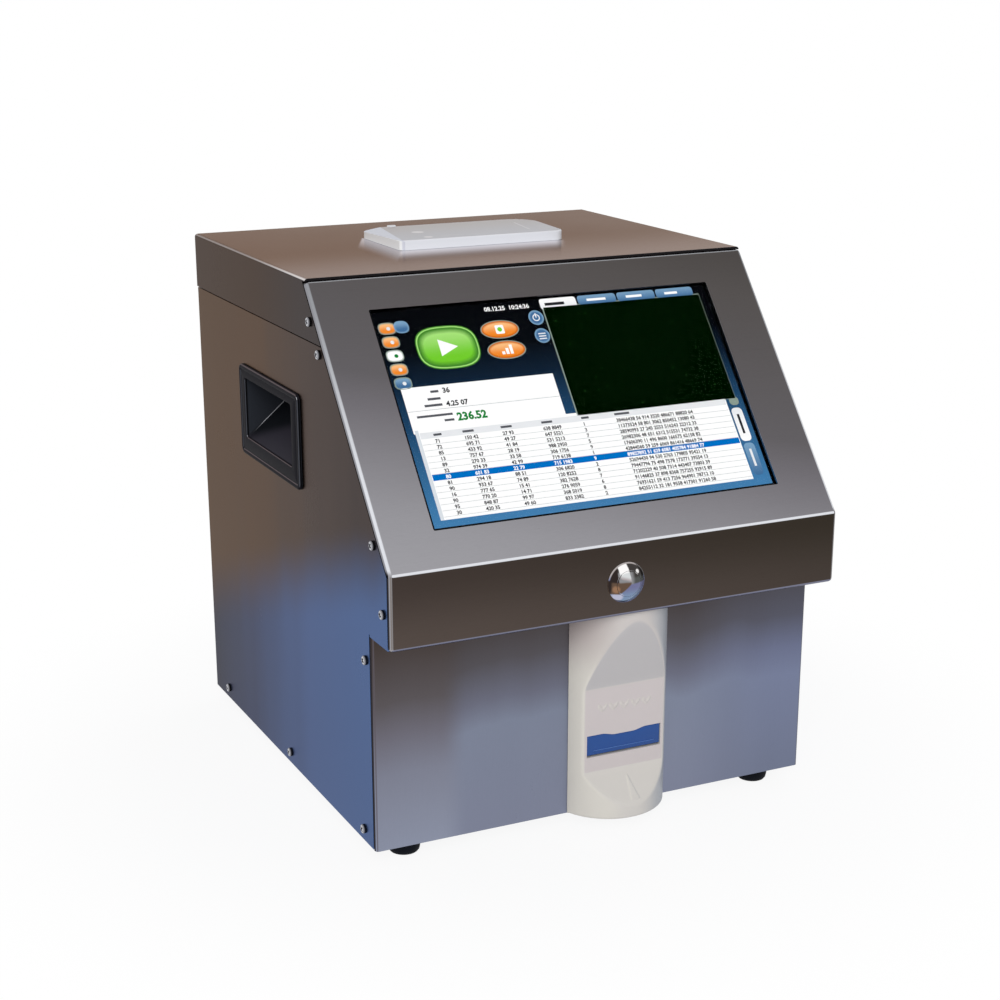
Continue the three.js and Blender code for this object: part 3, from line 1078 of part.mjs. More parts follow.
const box = new THREE.Box3().setFromObject(counter);
counter.position.set(-middle([box.min.x, box.max.x]), -middle([box.min.y, box.max.y]), -box.min.z);

export default counter;
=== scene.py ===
import math
import random

import bmesh
import bpy
from mathutils import Matrix, Vector


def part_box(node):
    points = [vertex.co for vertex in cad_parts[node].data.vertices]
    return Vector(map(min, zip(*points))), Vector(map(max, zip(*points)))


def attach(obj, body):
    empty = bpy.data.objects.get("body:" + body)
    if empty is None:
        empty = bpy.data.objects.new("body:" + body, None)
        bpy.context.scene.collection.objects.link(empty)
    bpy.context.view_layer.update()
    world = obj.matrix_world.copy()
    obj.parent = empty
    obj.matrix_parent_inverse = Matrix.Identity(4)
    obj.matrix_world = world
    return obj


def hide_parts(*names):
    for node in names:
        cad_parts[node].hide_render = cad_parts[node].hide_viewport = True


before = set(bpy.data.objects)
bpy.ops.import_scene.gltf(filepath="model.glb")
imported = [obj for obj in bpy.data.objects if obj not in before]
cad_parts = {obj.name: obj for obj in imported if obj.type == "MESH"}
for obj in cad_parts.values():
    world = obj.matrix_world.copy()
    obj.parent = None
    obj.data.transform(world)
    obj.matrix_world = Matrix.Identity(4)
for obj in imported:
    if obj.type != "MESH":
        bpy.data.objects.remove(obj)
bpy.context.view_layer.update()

# Lengths below are in millimetres, from the lower front panel's face, the casing's middle and its underside
mm = 0.001
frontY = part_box("lower_front_panel")[0].y
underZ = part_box("base_tray")[0].z
casing = {
    "width": 290, "depth": 299, "height": 318, "overhang": 27.3, "chinBottom": 131, "chinTop": 175, "setback": 91,
    "seam": 283,
}
slopeRun = casing["setback"] + casing["overhang"]
slopeRise = casing["height"] - casing["chinTop"]
slopeCos, slopeSin = (part / math.hypot(slopeRun, slopeRise) for part in (slopeRun, slopeRise))
slopeNormal = (0, -slopeSin, slopeCos)
halfWidth = casing["width"] / 2


def spot(x, y, z):
    return Vector((x * mm, frontY + y * mm, underZ + z * mm))


def slopeSpot(x, along, out):
    y = along * slopeCos - out * slopeSin - casing["overhang"]
    return spot(x, y, casing["chinTop"] + along * slopeSin + out * slopeCos)


def tone(red, green, blue):
    def linear(value):
        share = value / 255
        return share / 12.92 if share <= 0.04045 else ((share + 0.055) / 1.055) ** 2.4
    return (linear(red), linear(green), linear(blue), 1)


def smoothStep(value, low, high):
    share = min(max((value - low) / (high - low), 0), 1)
    return share * share * (3 - 2 * share)


print("frame and measures ready")


# Shader expressions: a wire is a socket that takes part in Python maths
class Wire:
    def __init__(self, paint, socket):
        self.paint, self.socket = paint, socket

    def maths(self, operation, first, second):
        return self.paint.node("ShaderNodeMath", {"operation": operation}, (first, second))

    def __add__(self, other):
        return self.maths("ADD", self, other)

    def __sub__(self, other):
        return self.maths("SUBTRACT", self, other)

    def __rsub__(self, other):
        return self.maths("SUBTRACT", other, self)

    def __mul__(self, other):
        return self.maths("MULTIPLY", self, other)

    def __truediv__(self, other):
        return self.maths("DIVIDE", self, other)

    __radd__, __rmul__ = __add__, __mul__


class Paint:
    def __init__(self, name, owner=None):
        self.material = owner or bpy.data.materials.new(name)
        self.material.use_nodes = True
        self.tree = self.material.node_tree
        self.tree.nodes.clear()
        self.coords = self.tree.nodes.new("ShaderNodeTexCoord")
        self.place = Wire(self, self.coords.outputs["Object"])

    def node(self, kind, settings=None, values=(), out=0):
        made = self.tree.nodes.new(kind)
        for key, value in (settings or {}).items():
            if key == "stops":
                ramp = made.color_ramp.elements
                while len(ramp) < len(value):
                    ramp.new(0.5)
                for stop, (position, colour) in zip(ramp, value):
                    stop.position, stop.color = position, colour
            else:
                setattr(made, key, value)
        for key, value in values.items() if isinstance(values, dict) else enumerate(values):
            if isinstance(value, Wire):
                self.tree.links.new(value.socket, made.inputs[key])
            else:
                made.inputs[key].default_value = value
        return Wire(self, made.outputs[out]) if made.outputs else None

    # X, Y and Z in millimetres
    def millimetres(self):
        split = self.node("ShaderNodeSeparateXYZ", values=(self.place,))
        x, y, z = (Wire(self, split.socket.node.outputs[i]) for i in range(3))
        return x / mm, (y - frontY) / mm, (z - underZ) / mm

    def facing(self, direction):
        values = (Wire(self, self.coords.outputs["Normal"]), Vector(direction).normalized())
        return self.node("ShaderNodeVectorMath", {"operation": "DOT_PRODUCT"}, values, "Value")

    def between(self, value, low, high):
        values = {"Value": value, "From Min": low, "From Max": high}
        return self.node("ShaderNodeMapRange", {"interpolation_type": "SMOOTHSTEP"}, values)

    def toward(self, direction, low, high):
        return self.between(self.facing(direction), low, high)

    def mix(self, factor, first, second, blend="MIX"):
        settings = {"data_type": "RGBA", "blend_type": blend}
        return self.node("ShaderNodeMix", settings, {0: factor, 6: first, 7: second}, 2)

    # A colour with others laid over it, each by its mask
    def layered(self, colour, *layers):
        for mask, over in layers:
            colour = self.mix(mask, colour, over)
        return colour

    def lit(self, colour, light):
        return self.mix(1.0, colour, self.node("ShaderNodeCombineColor", values=(light, light, light)), "MULTIPLY")

    def ramp(self, value, stops):
        return self.node("ShaderNodeValToRGB", {"stops": stops}, (value,))

    # Noise whose grain is so many per metre along X, Y and Z
    def noise(self, grain, detail=2.0, rough=0.5):
        stretched = self.node("ShaderNodeVectorMath", {"operation": "MULTIPLY"}, (self.place, grain))
        values = {"Vector": stretched, "Scale": 1.0, "Detail": detail, "Roughness": rough}
        return self.node("ShaderNodeTexNoise", values=values)

    def bump(self, height, depth, strength=1.0):
        return self.node("ShaderNodeBump", values={"Height": height, "Distance": depth * mm, "Strength": strength})

    def surface(self, **values):
        named = {key.replace("_", " "): value for key, value in values.items()}
        self.node("ShaderNodeOutputMaterial", values=(self.node("ShaderNodeBsdfPrincipled", values=named),))
        return self.material


# Settings whose colours are written from 0 to 255: a triple is a colour, a list holds a ramp's stops
def toned(settings):
    def linear(value):
        if isinstance(value, list):
            return [(place, tone(*colour)) for place, colour in value]
        return tone(*value) if isinstance(value, tuple) and len(value) == 3 else value
    return {key: linear(value) for key, value in settings.items()}


# Brushed steel: streaks along the grain, over a tone that changes across the sheet, which is painted reflection and
# shade
steelFinish = {
    "streaks": 900, "fine": 2600, "along": 14, "wear": 0.08, "smoothWear": 0.02, "streakShare": 0.35,
    "cloud": 14, "cloudShare": 0.06,
}


def brushedSteel(name, grain, toneOf, contrast, roughness, groove, edgeTint=(0.6, 0.6, 0.6, 1), glowOf=None):
    paint, finish = Paint(name), steelFinish
    along = finish["along"]
    streak = paint.noise([along if axis == grain else finish["streaks"] for axis in "xyz"], 3.0, 0.6)
    hair = paint.noise([20 * along if axis == grain else finish["fine"] for axis in "xyz"], 1.0)
    cloud = (paint.noise([finish["cloud"]] * 3, 2.0) - 0.5) * finish["cloudShare"]
    share = streak * finish["streakShare"] + hair * (1 - finish["streakShare"])
    place = paint.millimetres()
    colour = paint.lit(toneOf(paint, *place), 1 + (share - 0.5) * contrast + cloud)
    rough = roughness + (share - 0.5) * finish["wear" if groove else "smoothWear"] + cloud
    values = {"Base_Color": colour, "Metallic": 1.0, "Roughness": rough, "Specular_Tint": edgeTint}
    if groove:
        values["Normal"] = paint.bump(share, groove, 0.5)
    # A painted reflection, given as emission
    if glowOf:
        values["Emission_Color"], values["Emission_Strength"] = glowOf(paint, *place), 1.0
    return paint.surface(**values)


# Fascia: painted reflection, the slope painted darker upwards and to the right, with painted highlights on its bends
# and painted shade on the chin's flanks
fasciaTones = toned({
    "slope": [
        (0.0, (160, 159, 164)), (0.14, (151, 150, 155)), (0.4, (113, 110, 115)), (0.48, (99, 96, 99)),
        (0.86, (86, 82, 81)), (1.0, (76, 72, 70)),
    ],
    "drift": 0.45, "chinTop": [(0.0, (66, 57, 53)), (1.0, (53, 47, 40))],
    "chinFoot": [(0.0, (86, 76, 71)), (1.0, (70, 62, 57))],
    "glint": (226, 228, 234), "upperGlint": (150, 152, 157), "topGlint": (168, 170, 174), "lip": (122, 124, 146),
    "chinEdge": (132, 126, 124), "dark": (44, 42, 48), "sideGlow": (150, 150, 156),
})


def fasciaTone(paint, x, y, z):
    tones = fasciaTones
    across = (x + halfWidth) / casing["width"]
    height = (z - casing["chinTop"]) / slopeRise
    # Painted reflection: darker upwards and, by drift, to the right
    slope = paint.ramp((height + across * tones["drift"]) / (1 + tones["drift"]), tones["slope"])
    fall = paint.between(z, casing["chinTop"], casing["chinBottom"])
    chin = paint.mix(fall, paint.ramp(across, tones["chinTop"]), paint.ramp(across, tones["chinFoot"]))
    colour = paint.mix(paint.toward((0, -1, 0), 0.93, 0.985), slope, chin)
    onSlope = paint.between(height, 0.0, 0.02)
    glint = paint.mix(paint.between(height, 0.2, 1.0), tones["glint"], tones["upperGlint"])
    flank = paint.mix(onSlope, tones["dark"], tones["sideGlow"])
    # Painted highlights on the side bends and the slope's flanks, painted shade on the chin's flanks
    for side in (-1, 1):
        colour = paint.layered(
            colour, (paint.toward((side * 0.85, -slopeSin, slopeCos), 0.82, 0.97) * onSlope, glint),
            (paint.toward((side * 0.7, -1, 0), 0.955, 0.99) * (1 - onSlope), tones["chinEdge"]),
            (paint.toward((side, 0, 0), 0.86, 0.95), flank),
        )
    # Painted highlights on the chin's top bend and the slope's top bend; under the chin a painted light lip, on the
    # slope painted shade where it faces down
    return paint.layered(
        colour, (paint.toward((0, -slopeSin - 0.9, slopeCos), 0.955, 0.985), tones["glint"]),
        (paint.toward((0, -slopeSin, slopeCos + 1), 0.965, 0.99), tones["topGlint"]),
        (paint.toward((0, -1, -1), 0.8, 0.95), paint.mix(onSlope, tones["lip"], tones["dark"])),
    )


# Lower front: painted reflection and shade, brown below the overhang, blue-grey towards the bench, with a warmer strip
# at the left
frontTones = toned({
    "middle": [
        (0.0, (128, 133, 153)), (0.5, (126, 133, 152)), (0.62, (108, 110, 126)), (0.8, (85, 82, 87)),
        (1.0, (68, 61, 59)),
    ],
    "left": [
        (0.0, (142, 148, 167)), (0.36, (128, 131, 147)), (0.54, (111, 109, 120)), (0.7, (91, 86, 89)),
        (1.0, (68, 59, 55)),
    ],
    "right": [
        (0.0, (114, 121, 143)), (0.5, (119, 127, 154)), (0.64, (108, 114, 140)), (0.8, (87, 88, 101)),
        (1.0, (76, 74, 80)),
    ],
    "leftTurn": (-86, -104), "rightTurn": (40, 135), "edge": (96, 90, 98), "dark": (44, 40, 46), "bands": 0.09,
})


def frontPanelTone(paint, x, y, z):
    tones = frontTones
    drift = paint.noise((26, 1, 1.2), 2.0) - 0.5
    height = z / casing["chinBottom"] + drift * 0.16
    colour = paint.layered(
        paint.ramp(height, tones["middle"]),
        (paint.between(x, *tones["leftTurn"]), paint.ramp(height, tones["left"])),
        (paint.between(x, *tones["rightTurn"]), paint.ramp(height, tones["right"])),
    )
    colour = paint.lit(colour, 1 + drift * tones["bands"])
    # A painted reflection tone on the side bends and painted shade on the flanks
    for side in (-1, 1):
        edge = paint.toward((side * 0.6, -1, 0), 0.965, 0.99) * 0.7
        colour = paint.layered(colour, (edge, tones["edge"]), (paint.toward((side, 0, 0), 0.86, 0.95), tones["dark"]))
    return colour


# Side panels: painted reflection, brown above a slanting line and blue below it
sideTones = toned({
    "brown": [(0.0, (64, 56, 56)), (0.35, (82, 68, 62)), (0.7, (94, 69, 49)), (1.0, (94, 66, 39))],
    "blue": [(0.0, (82, 109, 158)), (0.4, (80, 102, 149)), (0.75, (62, 71, 103)), (1.0, (48, 50, 70))],
    "turnFront": 180, "turnRear": 70, "turnSoft": 30,
})


def sidePanelTone(paint, x, y, z):
    tones = sideTones
    depth = (y + casing["overhang"]) / (casing["depth"] + casing["overhang"])
    drift = paint.noise((1, 24, 1.5), 2.0) - 0.5
    turn = tones["turnFront"] - depth * (tones["turnFront"] - tones["turnRear"])
    share = paint.between(z - turn + drift * 16, -tones["turnSoft"], tones["turnSoft"])
    blue, brown = paint.ramp(depth + drift * 0.3, tones["blue"]), paint.ramp(depth + drift * 0.35, tones["brown"])
    return paint.lit(paint.mix(share, blue, brown), 1 + drift * 0.1)


# Lid: painted reflection, light at the front and brown at the rear, with painted highlights on its side bends and
# painted shade on its front edge; "view" is how far the viewer's line runs sideways and forwards, "box" the reader's
# plan
lidTones = toned({
    "front": (199, 203, 209), "rear": (116, 90, 66), "skirtRear": (72, 52, 38), "skirtFront": (67, 59, 58),
    "edge": (250, 250, 252), "edgeRear": (180, 180, 182), "frontEdge": (30, 28, 30), "glow": (0.5, 0.53, 0.6, 1),
    "view": (0.43, 0.9), "reach": 50, "strength": 0.9, "endStrength": 0.6, "box": ((-54, 60), (165.5, 229.5)),
})


# Painted reflection, given as emission: the lid shows the reader's front and its left end as a faint light that fades
# towards the viewer
def lidGlow(paint, x, y, z):
    tones = lidTones
    (left, right), (front, back) = tones["box"]
    sideways, towards = tones["view"]

    def window(away, spread, low, high, soft):
        start, end = (low - soft[0], low + soft[0]), (high + soft[1], high - soft[2])
        ends = paint.between(spread, *start) * paint.between(spread, *end)
        return paint.between(away, tones["reach"], 0) * paint.between(away, -1, 0) * ends

    near, beside = (front - y) / towards, (left - x) / sideways
    fall = paint.between(near, tones["reach"], 0)
    inFront = fall * window(near, x + near * sideways, left, right, (1, 1, 7))
    atEnd = window(beside, y + beside * towards, front, back, (2, 2, 2))
    share = (inFront * tones["strength"] + atEnd * tones["endStrength"]) * paint.toward((0, 0, 1), 0.9, 1.0)
    return paint.mix(share, (0, 0, 0, 1), tones["glow"])


def lidTone(paint, x, y, z):
    tones = lidTones
    depth = paint.between(y, 80, 195)
    skirt = paint.mix(depth, tones["skirtFront"], tones["skirtRear"])
    top = paint.mix(depth, tones["front"], tones["rear"])
    edge = paint.mix(depth, tones["edge"], tones["edgeRear"])
    # Skirt and top in painted reflection tones, painted highlights on the side bends, painted shade on the front edge
    return paint.layered(
        skirt, (paint.toward((0, 0, 1), 0.3, 0.8), top), (paint.toward((-1, 0, 1), 0.93, 0.98), edge),
        (paint.toward((1, 0, 1), 0.93, 0.98), edge), (paint.toward((0, -1, 0), 0.4, 0.65), tones["frontEdge"]),
    )


# Rear panel and tray: painted reflection, bluish grey low down turning brown higher up
rearTones = toned({"stops": [(0.0, (128, 134, 146)), (0.5, (116, 112, 110)), (1.0, (104, 96, 90))]})


def rearTone(paint, x, y, z):
    return paint.ramp(z / casing["height"], rearTones["stops"])


steelFascia = brushedSteel("steelFascia", "x", fasciaTone, 0.14, 0.3, 0.008)
steelFront = brushedSteel("steelFront", "z", frontPanelTone, 0.08, 0.3, 0.004)
steelSide = brushedSteel("steelSide", "z", sidePanelTone, 0.025, 0.26, 0)
steelLid = brushedSteel("steelLid", "x", lidTone, 0.05, 0.17, 0, (0.4, 0.3, 0.25, 1), lidGlow)
steelSkirt = brushedSteel("steelSkirt", "x", lidTone, 0.04, 0.26, 0)
steelRear = brushedSteel("steelRear", "z", rearTone, 0.12, 0.3, 0.01)


# Moulded plastics, rubber and paints: fine grain, slight colour drift
def moulded(name, colour, roughness, grain=1400, depth=0.012, drift=0.06, shine=0.4, toneOf=None):
    paint = Paint(name)
    fine = paint.noise((grain, grain, grain), 2.0)
    cloud = paint.noise((22, 22, 22), 2.0)
    # toneOf gives the painted light and shade of the entrance, reader, grip and flap
    base = toneOf(paint, *paint.millimetres()) if toneOf else tone(*colour)
    return paint.surface(
        Base_Color=paint.lit(base, 1 + (cloud - 0.5) * (4 * drift)), Roughness=roughness + (fine - 0.5) * 0.12,
        Normal=paint.bump(fine, depth, 0.6), Specular_IOR_Level=shine,
    )


# Grip: painted light and shade, its rising floor painted lit only on the front part and dark further in, with painted
# highlights on its edges, its ridge and the crease at the rear, and painted shade on the flange's front face
gripTones = toned({
    "flange": (29, 28, 33), "edge": (72, 74, 80), "ridge": (100, 90, 92), "spot": (190, 190, 196),
    "outside": (10, 10, 12), "wall": (44, 47, 53), "floorLit": (50, 48, 56), "floorDark": (24, 26, 30),
    "crease": (38, 40, 44), "rear": 201, "litShare": 0.425,
})


def gripTone(paint, x, y, z):
    tones = gripTones
    depth = halfWidth - paint.node("ShaderNodeMath", {"operation": "ABSOLUTE"}, (x,))
    up, back = paint.facing((0, 0, 1)), paint.facing((0, -1, 0))
    # Painted light on the front part of the floor, painted shade further in
    lit = paint.between(depth - (tones["rear"] - y) * tones["litShare"], -5, 5)
    inside = paint.layered(
        tones["flange"], (paint.between(back, 0.3, 0.6), tones["wall"]),
        (paint.between(up, 0.1, 0.4), paint.mix(lit, tones["floorLit"], tones["floorDark"])),
        (paint.between(up * back, 0.2, 0.36) * paint.between(depth, 1, 3), tones["crease"]),
    )
    outside = paint.mix(paint.between(back, 0.8, 0.95), tones["flange"], tones["outside"])
    colour = paint.mix(paint.between(depth, -0.8, 0.2), outside, inside)
    # Painted highlights on the ridge and the edges, and a painted bright spot
    for side in (-1, 1):
        colour = paint.layered(
            colour, (paint.toward((side, 0, 1), 0.88, 0.97) * paint.between(depth, 0, -1), tones["ridge"]),
            (paint.toward((side, -1, 0), 0.9, 0.985), tones["edge"]),
            (paint.toward((side, -1, 0.8), 0.97, 0.995), tones["spot"]),
        )
    return colour


# Tag reader: painted light, its front, its front edge and its slanted end painted lighter than its top
readerTones = toned({
    "top": (178, 177, 182), "topRear": (170, 163, 161), "front": (229, 231, 236), "facet": (208, 210, 220),
    "edge": (228, 228, 232), "end": (254, 255, 255), "window": (214, 210, 210),
})

# On its top are two round windows (x, y, radius) in a lighter tone, and three fine lines (start, end, strength),
# painted highlights along fine creases
readerMarks = {
    "windows": ((-29, 197, 4.0), (-31.5, 174, 3.0)), "lineHalf": 0.45,
    "lines": (((-22, 177), (-6.5, 174.8), 0.4), ((-1, 175), (9, 173.4), 0.25), ((41.5, 178), (47, 212.5), 0.6)),
}


def readerTone(paint, x, y, z):
    tones, half = readerTones, readerMarks["lineHalf"]
    top = paint.mix(paint.between(y, 170, 230), tones["top"], tones["topRear"])
    for centreX, centreY, radius in readerMarks["windows"]:
        offX, offY = x - centreX, y - centreY
        away = paint.node("ShaderNodeMath", {"operation": "SQRT"}, (offX * offX + offY * offY,))
        top = paint.mix(paint.between(away, radius + 0.5, radius - 0.6), top, tones["window"])
    for (startX, startY), (endX, endY), strength in readerMarks["lines"]:
        length = math.hypot(endX - startX, endY - startY)
        alongX, alongY = (endX - startX) / length, (endY - startY) / length
        along = (x - startX) * alongX + (y - startY) * alongY
        across = (x - startX) * alongY - (y - startY) * alongX
        aside = paint.node("ShaderNodeMath", {"operation": "ABSOLUTE"}, (across,))
        inside = paint.between(along, 0, 1) * paint.between(along, length, length - 1)
        inside = inside * paint.between(aside, half + 0.4, half)
        top = paint.mix(inside * strength, top, tones["window"])
    # Painted light on the front, the facet, the slanted end and the front edge
    return paint.layered(
        top, (paint.toward((0, -1, 0), 0.15, 0.5), tones["front"]),
        (paint.toward((-1, 0, 0), 0.03, 0.1), tones["facet"]),
        (paint.toward((-1, 0, 0), 0.4, 0.8), tones["end"]), (paint.toward((0, -1, 1), 0.94, 0.99), tones["edge"]),
    )


# Entrance: painted light and shade, the bulge painted lighter at its shoulder and low down, darker at its top left and
# on its right flank, and the scoop's top painted darker where it faces down
entranceTones = toned({
    "base": (199, 193, 189), "low": (205, 201, 195), "topLeft": (168, 156, 153), "right": (170, 174, 180),
    "scoopTop": (184, 181, 181), "flat": (198, 190, 189), "shoulder": (210, 206, 197),
})


def entranceTone(paint, x, y, z):
    tones = entranceTones
    high = paint.between(z, 86, 128)
    onFlat = paint.toward((0, -1, 0), 0.993, 0.999) * paint.between(z, 26.6, 27.6) * paint.between(z, 81.6, 80.6)
    return paint.layered(
        paint.mix(paint.between(z, 60, 20), tones["base"], tones["low"]),
        (paint.toward((-1, 0, 0), 0.1, 0.5) * (1 - high), tones["shoulder"]),
        (paint.between(x, 6, -21) * high, tones["topLeft"]),
        (paint.toward((1, 0, 0), 0.1, 0.75), tones["right"]), (onFlat, tones["flat"]),
        (paint.toward((0, -0.951, -0.309), 0.97, 0.99) * paint.between(z, 80.6, 81.6), tones["scoopTop"]),
    )


# Painted highlight: the flap's upward-facing sides, such as its rib's upper side, are painted lighter
def flapTone(paint, x, y, z):
    return paint.mix(paint.toward((0, 0, 1), 0.3, 0.7), tone(41, 77, 140), tone(116, 150, 206))


def metal(name, colour, roughness, grain=(500, 500, 500), depth=0.01, drift=0.08):
    paint = Paint(name)
    fine = paint.noise(grain, 3.0)
    if isinstance(colour, tuple):
        dark, light = ([min(value * share, 1) for value in tone(*colour)[:3]] + [1] for share in (1 - drift, 1 + drift))
        colour = paint.mix(fine, dark, light)
    else:
        colour = colour(paint)
    rough = roughness + (fine - 0.5) * 0.15
    return paint.surface(Base_Color=colour, Metallic=1.0, Roughness=rough, Normal=paint.bump(fine, depth, 0.5))


# Screws: painted light and shade, bright where they face outwards, dark on their flanks and in their recess, and light
# where they face backwards
def screwTone(paint):
    outward = paint.node("ShaderNodeMath", {"operation": "ABSOLUTE"}, (paint.facing((1, 0, 0)),))
    flank = paint.mix(paint.between(outward, 0.05, 0.6), tone(62, 62, 66), tone(134, 134, 140))
    return paint.layered(
        flank, (paint.between(outward, 0.8, 0.96), tone(196, 198, 203)),
        (paint.toward((0, 1, 0), 0.7, 0.95), tone(176, 178, 182)),
    )


beigePlastic = moulded("beigePlastic", None, 0.42, drift=0.012, shine=0.35, toneOf=entranceTone)
readerPlastic = moulded("readerPlastic", None, 0.38, drift=0.01, shine=0.3, toneOf=readerTone)
blackPlastic = moulded("blackPlastic", None, 0.36, drift=0.05, shine=0.008, toneOf=gripTone)
flapBlue = moulded("flapBlue", None, 0.3, drift=0.03, shine=0.2, toneOf=flapTone)
innerBlack = moulded("innerBlack", (40, 41, 44), 0.5)
panelBlack = moulded("panelBlack", (8, 9, 12), 0.4, shine=0.05)
footRubber = moulded("footRubber", (13, 16, 23), 0.62, grain=900, depth=0.03, shine=0.08)
screwSteel = metal("screwSteel", screwTone, 0.22)
innerSteel = metal("innerSteel", (170, 172, 174), 0.34, (90, 900, 900))
machinedAlloy = metal("machinedAlloy", (188, 190, 194), 0.36, (60, 1200, 1200))
lensBrass = metal("lensBrass", (186, 148, 84), 0.3, (80, 80, 1500))
springWire = metal("springWire", (128, 130, 134), 0.28)
motorBlack = metal("motorBlack", (58, 59, 63), 0.4, (1500, 80, 1500))
supplyCage = metal("supplyCage", (176, 178, 178), 0.38, (60, 60, 900))
rodChrome = metal("rodChrome", (214, 216, 220), 0.12, (900, 20, 900))

# Polished chrome: painted reflection of the room that it mirrors, laid out by the surface's direction across (x) and up
# (z)
chrome = toned({
    "dark": (64, 60, 58), "white": (253, 251, 250), "haze": (216, 219, 220), "foot": (176, 166, 168),
    "left": (50, 42, 40), "brown": (100, 80, 66), "tan": (150, 114, 88), "slate": (82, 84, 82),
    "violet": (114, 116, 152), "blue": (124, 146, 176), "pale": (186, 188, 210), "rim": (178, 170, 168),
    "lowRim": (104, 116, 158), "glint": (236, 234, 232), "grey": (140, 140, 142), "window": (-0.325, 0.045),
    "lean": 0.15, "footSlope": 0.3, "footRise": 0.12, "paneTurn": (0.4, 0.48), "bench": 0.03, "benchFall": 0.95,
    "benchLow": -0.38,
})
viewerWay = (-0.411, -0.858, 0.309)


def polishedChrome():
    paint = Paint("polishedChrome")
    smear = (paint.noise((260, 260, 260), 2.0) - 0.5) * 0.05
    x, z, out = paint.facing((1, 0, 0)) + smear, paint.facing((0, 0, 1)) + smear, paint.facing((0, -1, 0))
    left, right = chrome["window"]
    sideways = x + z * chrome["lean"]
    foot = z + x * chrome["footSlope"] - chrome["footRise"]
    brown = paint.between(foot, 0.02, -0.05) * paint.between(z, 0.13, 0.05)
    brown = brown * paint.between(x, -0.68, -0.6) * paint.between(x, 0.08, 0.0)
    tan = paint.mix(paint.toward((-0.5, -0.84, -0.17), 0.982, 0.998), chrome["brown"], chrome["tan"])
    window = paint.between(sideways, left, left + 0.05) * paint.between(sideways, right + 0.05, right)
    pane = paint.mix(paint.between(z - x * 0.1, *chrome["paneTurn"]), chrome["haze"], chrome["white"])
    edge = ((x - 0.04) * chrome["benchFall"]).maths("MINIMUM", 0.0, (x - 0.04) * chrome["benchFall"])
    bench = z - edge.maths("MAXIMUM", edge, chrome["benchLow"]) - chrome["bench"]
    under = paint.mix(paint.between(z, -0.1, -0.5), chrome["violet"], chrome["blue"])
    under = paint.mix(paint.toward((-0.42, -0.77, -0.47), 0.965, 0.99), under, chrome["pale"])
    high = paint.between(z, 0.12, 0.2)
    onRim = paint.between(out, 0.715, 0.69) * (high + paint.between(x, -0.05, 0.1) * (1 - high))
    # Painted reflection: dark room, window panes, bench, a painted glint and the rim
    colour = paint.layered(
        paint.mix(paint.between(z, 0.3, 0.18), chrome["dark"], chrome["slate"]),
        (paint.between(x, 0.24, 0.05) * paint.between(z, 0.48, 0.4), chrome["grey"]),
        (paint.between(x, -0.4, -0.44), chrome["left"]), (brown, tan),
        (window * paint.between(foot, -0.03, 0.05), paint.mix(paint.between(foot, 0.16, 0.02), pane, chrome["foot"])),
        (paint.between(bench, 0.02, -0.05), under),
        (paint.toward((0.36, -0.83, 0.42), 0.9955, 0.998), chrome["glint"]),
        (onRim, paint.mix(paint.between(z, 0.1, 0.4), chrome["lowRim"], chrome["rim"])),
    )
    # Where the dome would mirror the dark chin, it is dull instead, so that its painted reflection shows as a plain
    # colour
    inward = paint.between(paint.facing(viewerWay) * out, 0.45, 0.4) * paint.between(x, -0.1, 0.1)
    fine = paint.noise((700, 700, 700), 2.0)
    return paint.surface(
        Base_Color=colour, Metallic=1 - inward * paint.between(z, 0.25, 0.1) * 0.8, Roughness=0.06 + fine * 0.05,
        Normal=paint.bump(fine, 0.003, 0.3), Specular_Tint=(0.8, 0.8, 0.82, 1),
    )


buttonChrome = polishedChrome()


# Circuit boards: lacquered green with copper tracks below
def lacqueredBoard():
    paint = Paint("lacqueredBoard")
    values = {"Vector": paint.place, "Scale": 210.0}
    cell = paint.node("ShaderNodeTexVoronoi", {"feature": "DISTANCE_TO_EDGE"}, values, "Distance")
    track = paint.between(cell, 0.05, 0.09)
    colour = paint.mix(track, tone(64, 128, 78), tone(24, 84, 48))
    bump = paint.bump(1 - track, 0.03)
    return paint.surface(Base_Color=colour, Roughness=0.3 + (1 - track) * 0.1, Normal=bump, Coat_Weight=0.4)


def touchGlass():
    paint = Paint("touchGlass")
    smear = paint.noise((30, 30, 30), 3.0) * 0.004
    return paint.surface(Base_Color=(1, 1, 1, 1), Roughness=smear, IOR=1.05, Transmission_Weight=1.0)


boardGreen = lacqueredBoard()
screenGlass = touchGlass()
print("materials ready")


# Meshes and pieces
weldDistance = 0.002


def looseless(form, mesh, angle):
    bmesh.ops.remove_doubles(form, verts=form.verts, dist=weldDistance * mm)
    bmesh.ops.recalc_face_normals(form, faces=form.faces)
    form.to_mesh(mesh)
    form.free()
    mesh.shade_smooth()
    mesh.set_sharp_from_angle(angle=math.radians(angle))
    return mesh


def linked(name, data):
    made = bpy.data.objects.new(name, data)
    bpy.context.scene.collection.objects.link(made)
    return made


def addPiece(name, mesh, material, replaced=(), body="casing"):
    piece = linked(name, mesh)
    mesh.materials.clear()
    mesh.materials.append(material)
    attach(piece, body)
    if replaced:
        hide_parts(*replaced)
    return piece


def finished(name, form, angle, material, replaced=(), body="casing"):
    return addPiece(name, looseless(form, bpy.data.meshes.new(name), angle), material, replaced, body)


def soften(piece, width, angle):
    edge = piece.modifiers.new("edge", "BEVEL")
    edge.width, edge.segments = width * mm, 2
    edge.limit_method, edge.angle_limit = "ANGLE", math.radians(angle)
    piece.modifiers.new("even", "WEIGHTED_NORMAL").keep_sharp = True
    return piece


def bridged(form, loops):
    count = len(loops[0])
    for lower, upper in zip(loops, loops[1:]):
        for i in range(count):
            j = (i + 1) % count
            form.faces.new((lower[i], lower[j], upper[j], upper[i]))


